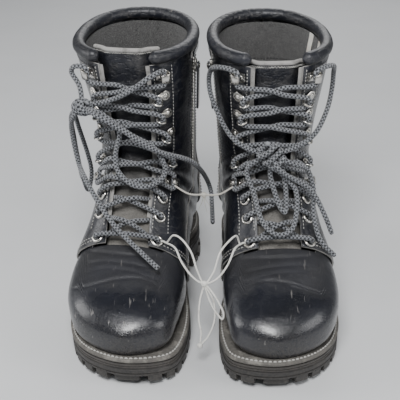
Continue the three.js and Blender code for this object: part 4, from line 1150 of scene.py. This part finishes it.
# %% [markdown]
# ## Stitching
# Boots are sewn with thick waxed thread, so the rows stand out: two rows beside every edge that carries load. A
# stitch is a short rounded bar that sinks into the leather at both ends. All stitches of a row are worked out
# at once: four rings of six points each, along a piece of the row's path.

# %% Stitches
def stitch_row(path, normals, length=2.3, pitch=3.3, thick=0.42, high=0.25):
    """Stitches along a path: at shares 0, 1/3, 2/3 and 1 of each stitch the height is low, high, high, low."""
    arc = arc_along(path)
    count = max(1, int(arc[-1] / pitch))
    share = np.array([0, 0.3, 0.7, 1.0])
    at = (np.arange(count)[:, None] + 0.5) * arc[-1] / count + (share - 0.5) * length
    place = np.stack([np.interp(at, arc, path[:, k]) for k in range(3)], -1)
    out = unit(np.stack([np.interp(at, arc, normals[:, k]) for k in range(3)], -1))
    forward = unit(place[:, -1:] - place[:, :1]) + 0 * place
    across = unit(np.cross(forward, out))
    angle = 2 * np.pi * np.arange(6) / 6
    size = thick * np.array([0.55, 1, 1, 0.55])[None, :, None, None]
    middle = place + out * (high * np.array([-1.4, 0.5, 0.5, -1.4]))[None, :, None]
    turned = np.cos(angle)[:, None] * across[:, :, None] + np.sin(angle)[:, None] * out[:, :, None]
    ring = middle[:, :, None] + size * turned
    one = grid_faces(4, 6, wrap_m=True)
    step = np.arange(count)[:, None, None] * 24
    faces = (one[None] + step).reshape(-1, 4)
    caps = np.stack([np.arange(6)[::-1], np.arange(18, 24)])[None] + step
    return ring.reshape(-1, 3), faces, caps.reshape(-1, 6)


def sew(name, side, rows, material, wrinkle=None, **look):
    """Several rows of stitches as one piece. A row is (u, v, offset) arrays on the boot."""
    points, faces, caps, start = [], [], [], 0
    for u, v, offset in rows:
        u, v = np.broadcast_arrays(np.asarray(u, float), np.asarray(v, float))
        lift = offset + (rumple(u, v) if wrinkle is None else wrinkle(u, v))
        made = stitch_row(surface(u, v, lift), last_normal(u, v), **look)
        points.append(made[0])
        faces.append(made[1] + start)
        caps.append(made[2] + start)
        start += len(made[0])
    points = stand(np.concatenate(points), side)
    return make_piece(f"{side}_{name}", points, [np.concatenate(faces), np.concatenate(caps)], material,
                      sharp=0)


for side in SIDES:
    up = np.linspace(3.45, 9.93, 160)
    rows = []
    for sign in (1, -1):
        edge = facing(up)
        rows += [(up, sign * (edge + 0.018), QUARTER_OUT), (up, sign * (edge + 0.128), QUARTER_OUT)]
    for span_v in (np.linspace(0.2, 0.8, 120), -np.linspace(0.2, 0.8, 120)):
        rows += [(seam(span_v) + 0.09, span_v, QUARTER_OUT), (seam(span_v) + 0.17, span_v, QUARTER_OUT)]
    sew("quarter_stitches", side, rows, pale_thread)
    tall_up = np.linspace(ZIP_FROM - 0.2, 9.95, 90)
    zip_rows = [(tall_up, ZIP_V + way * (zip_gap(tall_up) + far), QUARTER_OUT)
                for way in (1, -1) for far in (0.02, 0.055)]
    zip_rows += [(np.full(60, 9.9), np.linspace(-0.42, -facing(9.9) - 0.06, 60), QUARTER_OUT)]
    zip_rows += [(np.full(120, 7.98), np.linspace(0.73, 1.27, 120), PATCH_IN + 1.4)]
    side_up = np.linspace(6.05, 8.0, 60)
    spread_v = mix(0.42, 0.3, ease(5.7, 8.1, side_up)) - 0.02
    zip_rows += [(side_up, 1 - spread_v, PATCH_IN + 1.4), (side_up, 1 + spread_v, PATCH_IN + 1.4)]
    stay_up = np.linspace(8.22, 9.95, 50)
    zip_rows += [(stay_up, np.full(50, 0.965), PATCH_IN + 1.4), (stay_up, np.full(50, 1.035), PATCH_IN + 1.4)]
    sew("shaft_stitches", side, zip_rows, dark_thread)
    top = TONGUE_TOP[side]
    zigzag_v = np.linspace(-0.2, 0.2, 61)
    zigzag_u = top - 0.12 * (zigzag_v / 0.25) ** 2 - 0.1 + 0.03 * np.where(np.arange(61) % 2, 1, -1)
    sew("tongue_stitches", side, [(zigzag_u, zigzag_v, tongue_top_side(zigzag_u, zigzag_v))], pale_thread,
        wrinkle=tongue_wave, length=1.9, pitch=2.1)
    inner_v = np.linspace(0.42, 1.58, 200)
    inner_rows = [(np.full(200, level), inner_v, LINING_OUT - 1.0) for level in (9.35, 8.75)]
    sew("lining_stitches", side, inner_rows, dark_thread, wrinkle=lambda u, v: 0.3 * rumple(u, v) - 0.2,
        high=-0.25, thick=0.5)
    vent_turn = np.linspace(0, 2 * np.pi, 40)
    sew("vent_stitches", side, [(3.75 + 0.17 * np.sin(vent_turn), 0.66 + 0.045 * np.cos(vent_turn), QUARTER_OUT)],
        pale_thread, length=1.4, pitch=2.4, thick=0.35)
print("stitches sewn")


# %% Bound tongue edge and blank labels
for side in SIDES:
    top = TONGUE_TOP[side]
    v = np.linspace(-0.235, 0.235, 120)
    u = top - 0.12 * (v / 0.25) ** 2
    line = surface(u, v, tongue_top_side(u, v) - 1.3)
    ends = np.sqrt(np.clip(np.minimum(np.arange(120), np.arange(120)[::-1]) / 4, 0.05, 1))
    points, faces, uv = tube(stand(line, side), 2.1 * MM, 14, 0, ends=ends)
    make_piece(f"{side}_tongue_binding", points, faces, cut_edge, uv=uv, sharp=0)
for name, side, v, wide in (("pull_label", "left", -0.62, 0.02), ("size_label", "left", -0.5, 0.012)):
    u_line, v_line = np.meshgrid(np.linspace(9.55, 9.98, 24), np.linspace(v - wide, v + wide, 12), indexing="ij")
    curl = 0.5 * np.sin(9 * u_line)
    points, faces, tags = shell(stand(surface(u_line, v_line, LINING_OUT - 1.9 + curl), side),
                                stand(surface(u_line, v_line, LINING_OUT - 2.5 + curl), side))
    uv = [grid_corners(24, 12) / [24, 12]] * 2 + [np.zeros((len(f), 4, 2)) for f in faces[2:]]
    make_piece(f"{side}_{name}", points, faces, blank_label, uv=uv)
print("edges bound")

# %% [markdown]
# ## Metal lacing hardware
# Low down the lace runs through rolled eyelets. At the ankle and the top it lies in bent hooks, and between them
# in rings held by riveted clips, which let it slide when it is pulled tight. Turned parts are profiles spun
# round an axis, and bent parts are a flat strip carried along a folded line. One side's hardware is one piece.

# %% Shapes for hardware
def spin(profile, count=24):
    """A closed profile of (radius, height) turned about z; points with radius 0 aren't used, so it is a ring."""
    profile = np.asarray(profile, float)
    angle = 2 * np.pi * np.arange(count) / count
    x = profile[:, 0][None] * np.cos(angle)[:, None]
    y = profile[:, 0][None] * np.sin(angle)[:, None]
    points = np.stack([x, y, np.broadcast_to(profile[:, 1], x.shape)], -1)
    return points.reshape(-1, 3), [grid_faces(count, len(profile), True, True)]


def dome(radius, height, base, count=20, rings=7):
    """A rivet head: radius r sin(t) and height h cos(t)^0.8 from the edge to the top, closed below."""
    t = np.linspace(np.pi / 2, 0.12, rings)
    r = np.concatenate([[radius * 0.9], radius * np.sin(t)])
    z = np.concatenate([[base - 0.4], base + height * np.cos(t) ** 0.8])
    angle = 2 * np.pi * np.arange(count) / count
    ring = np.stack([r[:, None] * np.cos(angle), r[:, None] * np.sin(angle), z[:, None] + 0 * angle], -1)
    points = ring.reshape(-1, 3)
    caps = end_caps(count, rings * count)
    return points, [grid_faces(rings + 1, count, wrap_m=True)[:, ::-1], *caps]


def strip(line, width, thickness, samples=40):
    """A flat strip bent along a line in the x-z plane. width is a number or one for each share of its length, and
    its edges are rounded by an eight-sided section."""
    fine = smooth_path(np.column_stack([np.asarray(line)[:, 0], np.zeros(len(line)), np.asarray(line)[:, 1]]), 0.4)
    fine = resample(fine, path_length(fine) / samples)
    tangent = unit(np.gradient(fine, axis=0))
    out = np.cross(tangent, [0, 1, 0])
    share = np.linspace(0, 1, len(fine))
    half = np.interp(share, np.linspace(0, 1, len(np.atleast_1d(width))), np.atleast_1d(width)) / 2
    h = thickness / 2
    section = [(-1, -h, 0), (-1, h, 0), (-1, h, 0.35), (1, h, -0.35), (1, h, 0), (1, -h, 0), (1, -h, -0.35),
               (-1, -h, 0.35)]
    ring = np.stack([fine + np.array([0, 1, 0]) * (s * half + inset)[:, None] + out * (w * (0.55 if inset == 0 else 1))
                     for s, w, inset in section], 1)
    n = len(fine)
    caps = end_caps(8, (n - 1) * 8)
    return ring.reshape(-1, 3), [grid_faces(n, 8, wrap_m=True), *caps]


def round_ring(radius, wire, tilt, centre, count=36):
    """A wire ring: a circle of radius R carried round with a circle of radius r, tilted about x."""
    a, b = np.meshgrid(2 * np.pi * np.arange(count) / count, 2 * np.pi * np.arange(12) / 12, indexing="ij")
    spread_r = radius + wire * np.cos(b)
    points = np.stack([spread_r * np.cos(a), wire * np.sin(b), spread_r * np.sin(a)], -1).reshape(-1, 3)
    c, s = np.cos(tilt), np.sin(tilt)
    points = np.stack([points[:, 0], points[:, 1] * c - points[:, 2] * s, points[:, 1] * s + points[:, 2] * c], -1)
    return points + centre, [grid_faces(count, 12, True, True)]


def teardrop(radius, tip, thickness, base, count=40):
    """A clip's plate: a circle drawn out to a rounded tip along x, by adding tip max(0, cos)^3, with soft edges."""
    angle = 2 * np.pi * np.arange(count) / count
    grow = np.maximum(0, np.cos(angle)) ** 3 * tip
    rings = []
    for inset, z in ((0.35, base), (0, base + 0.25), (0, base + thickness - 0.35), (0.45, base + thickness)):
        narrowed = (radius - inset) * (1 - 0.25 * grow / max(tip, 1))
        rings.append(np.stack([np.cos(angle) * (radius - inset) + grow, np.sin(angle) * narrowed, np.full(count, z)],
                              -1))
    points = np.concatenate(rings)
    caps = end_caps(count, 3 * count)
    return points, [grid_faces(4, count, wrap_m=True), *caps]


def gather(parts):
    """Several closed shapes as one set of points and faces; each shape's faces are turned outward on its own."""
    points, faces, start = [], [], 0
    for shape_points, shape_faces in parts:
        if sum(signed_volume(shape_points - shape_points.mean(0), f) for f in shape_faces) < 0:
            shape_faces = [f[:, ::-1] for f in shape_faces]
        points.append(shape_points)
        faces += [f + start for f in shape_faces]
        start += len(shape_points)
    return np.concatenate(points), faces


def flip_x(shape, side):
    """A shape mirrored across x for the inner side."""
    return shape[0] * [side, 1, 1], shape[1]


# %% Eyelets, clips and hooks
EYELET = [(3.2, -1.6), (3.2, 0.5), (3.5, 1.0), (4.2, 1.25), (5.1, 1.05), (5.8, 0.45), (5.9, 0.05), (5.0, -0.1),
          (4.0, -0.3), (3.9, -1.6)]
HOOK_LINE = [(-5.2, 0.5), (0, 0.55), (4.6, 0.7), (5.6, 2.2), (5.6, 5.6), (4.9, 7.6), (3.0, 8.4), (-0.5, 8.3),
             (-3.2, 7.6)]
CLIP_ARM = [(-3.0, 1.4), (-6.5, 1.7), (-8.2, 2.6), (-9.2, 3.6), (-9.0, 4.9), (-8.0, 5.2)]
HOOK_WIDTHS = {8: [8.5, 9.5, 10, 9.5, 8.5, 6.5], 3: [7.5, 8, 8, 7, 6.5, 5.5]}


def fixed(shape, here, sign):
    """A shape mirrored for its side of the throat and moved to its place on the leather."""
    return apply(here, flip_x(shape, sign)[0]), shape[1]


for side in SIDES:
    for name, sign in (("outer", -1), ("inner", 1)):
        rings = []
        for u in ROWS[:3]:
            here = on_surface(u, reach(u, sign * EYELET_REACH), BASE - 0.75)
            ring = spin(EYELET, 28)
            rings.append((apply(here, ring[0]), ring[1]))
        points, faces = gather(rings)
        make_piece(f"{side}_eyelet_rings_{name}", stand(points, side), faces, nickel, sharp=50,
                   replaces=[f"{side}_eyelets_{name}"])
        parts = []
        for u in ROWS[4:8]:
            here = on_surface(u, reach(u, sign * RIVET_REACH), BASE - 0.6)
            centre = np.array([-(RIVET_REACH - RING_REACH + 3.2), -1.5, RING_HEIGHT + 0.4])
            clip = [teardrop(4.9, 4.2, 1.2, 0), dome(2.9, 1.5, 1.2)]
            clip = [(shape[0] * [-1, 1, 1], shape[1]) for shape in clip]
            arm = strip(CLIP_ARM, [5.4, 5.0, 4.2], 1.1)
            clip += [(arm[0] - [0, 1.4, 0], arm[1]), round_ring(4.3, 0.95, RING_TILT, centre)]
            parts += [fixed(shape, here, sign) for shape in clip]
        for row, across in ((3, RIVET_REACH - 2), (8, RIVET_REACH - 1)):
            here = on_surface(ROWS[row], reach(ROWS[row], sign * across), BASE - 0.6)
            rivet = dome(2.4, 0.9, 1.1)
            parts += [fixed(strip(HOOK_LINE, HOOK_WIDTHS[row], 1.3), here, sign),
                      fixed((rivet[0] + [-1.0, 0, 0], rivet[1]), here, sign)]
        points, faces = gather(parts)
        make_piece(f"{side}_lace_clips_{name}", stand(points, side), faces, nickel, sharp=45,
                   replaces=[f"{side}_clips_{name}"])
    here = on_surface(3.75, 0.66, BASE - 0.7)
    ring = spin([(r * 0.62, z * 0.8) for r, z in EYELET], 24)
    make_piece(f"{side}_vent_ring", stand(apply(here, ring[0] * [1, 0.75, 1]), side), ring[1], nickel,
               replaces=[f"{side}_vent"])
print("hardware made")

# %% [markdown]
# ## The zip
# A zip lets the boot open without unlacing it. Its two rows of teeth sit on woven tape behind the slit, a
# slider runs on the teeth, and a long leather pull turns on the slider's post. The teeth are one small rounded
# block repeated, alternately left and right. The slider and the pull ride on their own bodies, so they move.

# %% Zip tape and teeth
zip_up = unit(zip_top - zip_bottom)
zip_out = last_normal(9.0, ZIP_V)
zip_out = unit(zip_out - zip_up * (zip_out @ zip_up))
zip_frame = np.eye(4)
zip_frame[:3, 0], zip_frame[:3, 1], zip_frame[:3, 2] = np.cross(zip_up, zip_out), zip_up, zip_out
zip_frame[:3, 3] = zip_top - zip_up * 22
zip_length = float(np.linalg.norm(zip_top - zip_bottom))


def block(width, length, height, soft=0.22):
    """A rounded bar: a rectangle with cut corners carried through four heights, smaller at both ends."""
    corner = np.array([(-1, -0.7), (-0.7, -1), (0.7, -1), (1, -0.7), (1, 0.7), (0.7, 1), (-0.7, 1), (-1, 0.7)])
    rings = [np.column_stack([corner * [width / 2 * k, length / 2 * k], np.full(8, z)])
             for k, z in ((1 - soft, 0), (1, soft * height), (1, (1 - soft) * height), (1 - soft, height))]
    caps = end_caps(8, 24)
    return np.concatenate(rings), [grid_faces(4, 8, wrap_m=True), *caps]


def repeat(shape, moves):
    """One shape at many places: every point plus every move, with the faces numbered on."""
    points = (shape[0][None] + np.asarray(moves)[:, None]).reshape(-1, 3)
    step = len(shape[0]) * np.arange(len(moves))[:, None, None]
    return points, [(f[None] + step).reshape(-1, f.shape[1]) for f in shape[1]]


for side in SIDES:
    panel("zip_tape", side, between(ZIP_FROM - 0.1, COLLAR - 0.03),
          between(ZIP_V - 0.072, ZIP_V + 0.072), 0.1, -0.8, 90, 26, zip_cloth, "zip_cloth",
          extra=lambda u, v: 0 * u, uv_scale=[22, 4.5], edge=zip_cloth)
    down = np.arange(22 - 3.5 - zip_length, 18, 1.7)
    moves = np.column_stack([np.where(np.arange(len(down)) % 2, 1.05, -1.05), down, np.full(len(down), 0.35)])
    points, faces = repeat(block(3.4, 1.15, 1.5), moves)
    make_piece(f"{side}_zip_teeth", stand(apply(zip_frame, points), side), faces, nickel, sharp=45)
    stop = block(5.6, 3.2, 1.7)
    points, faces = repeat(stop, [[0, 22 - 2.5 - zip_length - 2.5, 0.3]])
    make_piece(f"{side}_zip_stop", stand(apply(zip_frame, points), side), faces, nickel, sharp=45)
print("zip", round(zip_length), "mm,", len(down), "teeth a boot")


# %% Slider and pull, on their own bodies
def outline_body(outline, levels):
    """A plate from a closed outline in x-y: each level is (inset, height), the inset along the outline's normal."""
    outline = np.asarray(outline, float)
    ahead, behind = np.roll(outline, -1, 0), np.roll(outline, 1, 0)
    way = unit(ahead - behind)
    normal = np.column_stack([way[:, 1], -way[:, 0]])
    count = len(outline)
    points = np.concatenate([np.column_stack([outline - normal * inset, np.full(count, z)]) for inset, z in levels])
    caps = end_caps(count, (len(levels) - 1) * count)
    return points, [grid_faces(len(levels), count, wrap_m=True), *caps]


SLIDER_TOP, POST, PULL = 4.9, 1.5, 1.8
angle = np.linspace(0, 2 * np.pi, 48, endpoint=False)
slider_outline = np.column_stack([np.cos(angle) * (4.3 - 0.9 * np.sin(angle)), np.sin(angle) * 7.0])
head_base = SLIDER_TOP + PULL + 0.6
SLIDER_LEVELS = [(0.6, 2.4), (0, 2.9), (0, 3.5), (0.9, 3.6), (0.9, 3.8), (0, 3.9), (0, 4.4), (0.7, SLIDER_TOP)]
RIM = [(1.2, -0.1), (2.8, -0.1), (3.1, 0.1), (2.9, 0.3), (1.2, 0.3)]
for side in SIDES:
    body = outline_body(slider_outline, SLIDER_LEVELS)
    post = spin([(0.25, 4.6), (POST, 4.6), (POST, head_base + 0.1), (0.25, head_base + 0.1)], 20)
    head = dome(3.0, 0.85, head_base)
    rim = spin([(radius, head_base + z) for radius, z in RIM], 28)
    points, faces = gather([body, post, head, rim])
    make_piece(f"{side}_slider_body", stand(apply(zip_frame, points), side), faces, nickel,
               f"{side}_zip_slider", sharp=45, replaces=[f"{side}_zip_slider"])
    turn = np.linspace(0, np.pi, 22)
    bottom = np.linspace(np.pi, 2 * np.pi, 16)
    outline = np.concatenate([np.column_stack([np.cos(turn) * 4.5, np.sin(turn) * 4.5]),
                              np.column_stack([np.full(20, -3.9), np.linspace(-3, -42, 20)]),
                              np.column_stack([np.cos(bottom) * 3.9, np.sin(bottom) * 3.4 - 42.3]),
                              np.column_stack([np.full(20, 3.9), np.linspace(-42, -3, 20)])])
    low = SLIDER_TOP + 0.3
    levels = [(0.35, low), (0, low + 0.3), (0, low + PULL - 0.35), (0.4, low + PULL)]
    start = np.argmin(np.abs(np.arctan2(outline[:, 1], outline[:, 0])))
    closed = np.vstack([np.roll(outline, -start, 0), outline[start]])
    outline = resample(np.column_stack([closed, np.zeros(len(closed))]), 1.0)[:-1, :2]
    spoke = np.arctan2(outline[:, 1], outline[:, 0])
    hole = np.column_stack([np.cos(spoke), np.sin(spoke)]) * (POST + 0.4)
    outer_rings = outline_body(outline, levels)[0].reshape(4, -1, 3)
    inner_rings = np.stack([np.column_stack([hole, np.full(len(hole), z)]) for _, z in levels[::-1]])
    rings = np.concatenate([outer_rings, inner_rings])
    faces = [grid_faces(8, len(outline), True, True)]
    make_piece(f"{side}_pull_tab", stand(apply(zip_frame, rings.reshape(-1, 3)), side), faces, shaft_leather,
               f"{side}_zip_pull", sharp=45, replaces=[f"{side}_zip_pull"])
    loop = np.concatenate([np.column_stack([np.full(30, -2.7), np.linspace(-5, -41, 30)]),
                           np.column_stack([np.full(30, 2.7), np.linspace(-41, -5, 30)])])
    path = apply(zip_frame, np.column_stack([loop, np.full(60, low + PULL)]))
    made = stitch_row(path, np.broadcast_to(zip_out, path.shape), length=1.6, pitch=2.6, thick=0.3, high=0.15)
    make_piece(f"{side}_pull_stitches", stand(made[0], side), [made[1], made[2]], pale_thread,
               f"{side}_zip_pull", sharp=0)

# %% [markdown]
# ## The sole
# The welt is a strip of leather stitched to the upper all round; the midsole and the lugged rubber outsole are
# glued and sewn to it. Every layer shares one outline, so a layer here is that outline at several heights, each
# with its own inset, like a stack of contour lines. The sole springs up at the toe and rises into the heel.

# %% Outline and layers
SOLE_Y = [-150, -136, -106, -62, -8, 45, 92, 132, 148]
SOLE_INNER = [0, 37, 51, 51, 40, 32, 38, 28, 0]
SOLE_OUTER = [0, 30, 48, 57, 50, 41, 38, 27, 0]
TIP_SHIFT = [9, 6, 1, 0, 0, 0, 0, 0, 0]


def sole_lift(y):
    """Height of the sole above its forefoot: a parabola at the toe and a smooth step at the heel."""
    toe = np.maximum(0, -y - 95) / 55
    return 7 * toe * toe + 14 * ease(-20, 60, y)


def cap_along(values, s, even):
    """The outline's curve; its last span is drawn backward, so the heel is as round as the toe."""
    return np.where(s > 7, along(values[::-1], 8 - s, even), along(values, np.minimum(s, 7), even))


def sole_edge(s, side, margin=0.0):
    """A point of the sole's edge at a station, with a margin taken off all round."""
    y = cap_along(SOLE_Y, s, True)
    width = cap_along(SOLE_INNER if side > 0 else SOLE_OUTER, s, False)
    x = side * width * (1 - margin / 56) + along(TIP_SHIFT, s, True)
    return np.stack([x, 2 + (y - 2) * (1 - margin / 150)], -1)


def outline_between(first, final, count):
    """The ring of the sole's edge between two stations: up the inner side, then back down the outer."""
    s = mix(first, final, (1 - np.cos(np.pi * np.linspace(0, 1, count))) / 2 if first == 0 else
            np.sin(np.pi / 2 * np.linspace(0, 1, count)))
    inner, outer = sole_edge(s, 1), sole_edge(s, -1)
    return np.concatenate([inner, outer[::-1][1 if final == 8 else 0:][: -1 if first == 0 else None]])


def layer(levels, first=0.0, final=8.0, count=120):
    """A closed layer: rings at (inset, height) levels, and ladder caps that join the inner side to the outer."""
    ring = outline_between(first, final, count)
    n = len(ring)
    way = unit(np.roll(ring, -1, 0) - np.roll(ring, 1, 0))
    normal = np.column_stack([way[:, 1], -way[:, 0]])
    rings = []
    for inset, z in levels:
        place = ring - normal * inset
        height = z(place[:, 1]) if callable(z) else z + sole_lift(place[:, 1])
        rings.append(np.column_stack([place, np.broadcast_to(height, n)]))
    points = np.concatenate(rings)
    k = np.arange(0 if first else 1, count - (2 if final == 8 else 1))
    other = n - k - (1 if first else 0)
    cap = np.stack([k, k + 1, other - 1, other], -1)
    cap = cap[(cap[:, 1] != cap[:, 2])]
    tips = []
    if final == 8:
        tips.append([count - 2, count - 1, count])
    if not first:
        tips.append([0, 1, n - 1])
    tips = np.array(tips).reshape(-1, 3)
    top = (len(levels) - 1) * n
    return points, [grid_faces(len(levels), n, wrap_m=True), cap[:, ::-1], cap + top, tips[:, ::-1], tips + top]


WALL = -1.2
SLAB = [(1.2, 6), (0.2 + WALL, 6.5), (WALL, 8.3), (0.7 + WALL, 8.6), (0.7 + WALL, 9.3), (WALL, 9.6), (WALL, 12.8),
        (0.5 + WALL, 13.2), (0.5 + WALL, 13.6), (0.1 + WALL, 13.8), (0.6 + WALL, 14.1)]
MIDSOLE = [(1.6, 14.3), (0.4 + WALL, 14.5), (0.2 + WALL, 15.6), (0.9 + WALL, 16.0), (0.9 + WALL, 16.5),
           (0.2 + WALL, 16.9), (0.3 + WALL, 18.8), (1.0, 19.3)]
WELT = [(2.0, 19.6), (0.5 + WALL, 19.8), (WALL - 0.3, 20.6), (WALL - 0.3, 22.6), (0.4 + WALL, 23.4),
        (1.6 + WALL, 23.9), (6.0, 24.1)]
HEEL = [(2.4, 4.6), (1.4, 5.2), (1.3, 8), (1.9, 8.3), (1.9, 8.9), (1.3, 9.2)]


def lug(side_sign, first, final, depth, low, high, samples=9):
    """One tread block under the edge: a strip of the outline between two stations, cut back by its depth."""
    s = np.linspace(first, final, samples)
    edge = sole_edge(s, side_sign)
    way = unit(np.gradient(edge, axis=0))
    inward = np.column_stack([-way[:, 1], way[:, 0]]) * side_sign
    rings = []
    for inset, share in ((0.9, 0.0), (WALL + 0.2, 0.18), (WALL, 1.0), (depth, 1.0), (depth, 0.18), (depth - 0.9, 0.0)):
        place = edge + inward * inset
        squeeze = np.linspace(1, -1, samples)[:, None] * way * (0.7 if share == 0 else 0)
        z = mix(low(place[:, 1]), high(place[:, 1]), share)
        rings.append(np.column_stack([place + squeeze, z]))
    points = np.stack(rings, 1).reshape(-1, 3)
    caps = end_caps(6, (samples - 1) * 6)
    return points, [grid_faces(samples, 6, wrap_m=True), *caps]


def front_low(y):
    """Underside of the forefoot tread."""
    return np.maximum(0, sole_lift(y) - 5.6 * ease(0, 60, y))


def raised(shape, move):
    """A block moved to its place under the forefoot and raised there by the sole's lift."""
    place = shape[0] + move
    return place + np.column_stack([np.zeros((len(place), 2)), sole_lift(place[:, 1])]), shape[1]


FRONT_LUGS, CROSS_BARS, HEEL_LUGS = 7, 4, 5
for side in SIDES:
    treads = []
    for sign in (1, -1):
        for k in range(FRONT_LUGS):
            treads.append(lug(sign, 0.5 + k * 0.46, 0.82 + k * 0.46, 16, front_low, lambda y: 7 + sole_lift(y)))
    treads += [raised(block(40, 14, 8, 0.1), [1, -112 + 27 * k, 0]) for k in range(CROSS_BARS)]
    treads.append(raised(block(22, 12, 8, 0.1), [9, -141, 0]))
    points, faces = gather([layer(SLAB), *treads])
    make_piece(f"{side}_outsole_rubber", stand(points, side), faces, sole_rubber, sharp=35,
               replaces=[f"{side}_outsole"])
    heel_levels = [(inset, lambda y, z=z: z + 0 * y) for inset, z in HEEL]
    parts = [layer([*heel_levels, (1.1, lambda y: 5.7 + sole_lift(y))], first=5.3, count=60)]
    for sign in (1, -1):
        for k in range(HEEL_LUGS):
            parts.append(lug(sign, 5.4 + k * 0.5, 5.76 + k * 0.5, 15, lambda y: 0 * y, lambda y: 6 + 0 * y))
    middle = block(32, 60, 6.5, 0.1)
    parts.append((middle[0] + [0, 100, 0.2], middle[1]))
    points, faces = gather(parts)
    make_piece(f"{side}_heel_rubber", stand(points, side), faces, sole_rubber, sharp=35,
               replaces=[f"{side}_heel_block"])
    for name, levels, look, slot in (("midsole", MIDSOLE, midsole_rubber, "midsole_rubber"),
                                     ("welt", WELT, welt_leather, "welt_leather")):
        points, faces = gather([layer(levels, count=160)])
        make_piece(f"{side}_{name}_strip", stand(points, side), faces, look, sharp=50,
                   replaces=[f"{side}_{name}"])
    inside = layer([(26.5, 24.2), (26, 24.6), (26, 27.2), (27, 27.8)], count=70)
    s = np.linspace(0, 8, 70)
    ring = np.concatenate([sole_edge(s, 1, 26), sole_edge(s, -1, 26)[::-1][1:-1]])
    flat = np.concatenate([np.column_stack([ring, z + sole_lift(ring[:, 1])]) for z in (24.3, 25.0, 27.3, 27.6)])
    make_piece(f"{side}_insole_felt", stand(flat, side), inside[1], felt, sharp=50,
               replaces=[f"{side}_insole"])
print("soles made")

# %% [markdown]
# ## Welt stitching
# The thread that holds the welt to the sole shows as a row of plump pale beads round the edge. They are the same
# stitch as before, fatter and closer, along a ring a few millimetres in from the welt's edge.

# %% Welt stitches
for side in SIDES:
    ring = outline_between(0.0, 8.0, 400)
    way = unit(np.roll(ring, -1, 0) - np.roll(ring, 1, 0))
    place = ring - np.column_stack([way[:, 1], -way[:, 0]]) * (WALL + 2.3)
    path = np.column_stack([place, 24.0 + sole_lift(place[:, 1])])
    path = np.concatenate([path, path[:1]])
    points, faces, caps = stitch_row(path, np.broadcast_to([0.0, 0.0, 1.0], path.shape), length=3.3, pitch=4.1,
                                     thick=0.8, high=0.35)
    make_piece(f"{side}_welt_stitches", stand(points, side), [faces, caps], pale_thread, sharp=0)
print("welts sewn")

# %% [markdown]
# ## The floor
# A plain pale floor catches the soft shadows and shows that the treads stand on it. It isn't part of the boots.
# Its finish is almost even, with a faint mottling like a painted board.

# %% Floor
points = np.array([(x, y, 0.0) for x in (-6, 6) for y in (-6, 6)])
floor_mesh = bpy.data.meshes.new("floor")
floor_mesh.from_pydata(points.tolist(), [], [(0, 2, 3, 1)])


def build_floor(tree):
    return {"Base Color": blend_colour(tree, noise(tree, 9.0), (0.62, 0.63, 0.64), (0.68, 0.69, 0.7))}


floor_mesh.materials.append(finish("floor_paint", build_floor, Roughness=0.8))
floor = bpy.data.objects.new("floor", floor_mesh)
bpy.context.scene.collection.objects.link(floor)
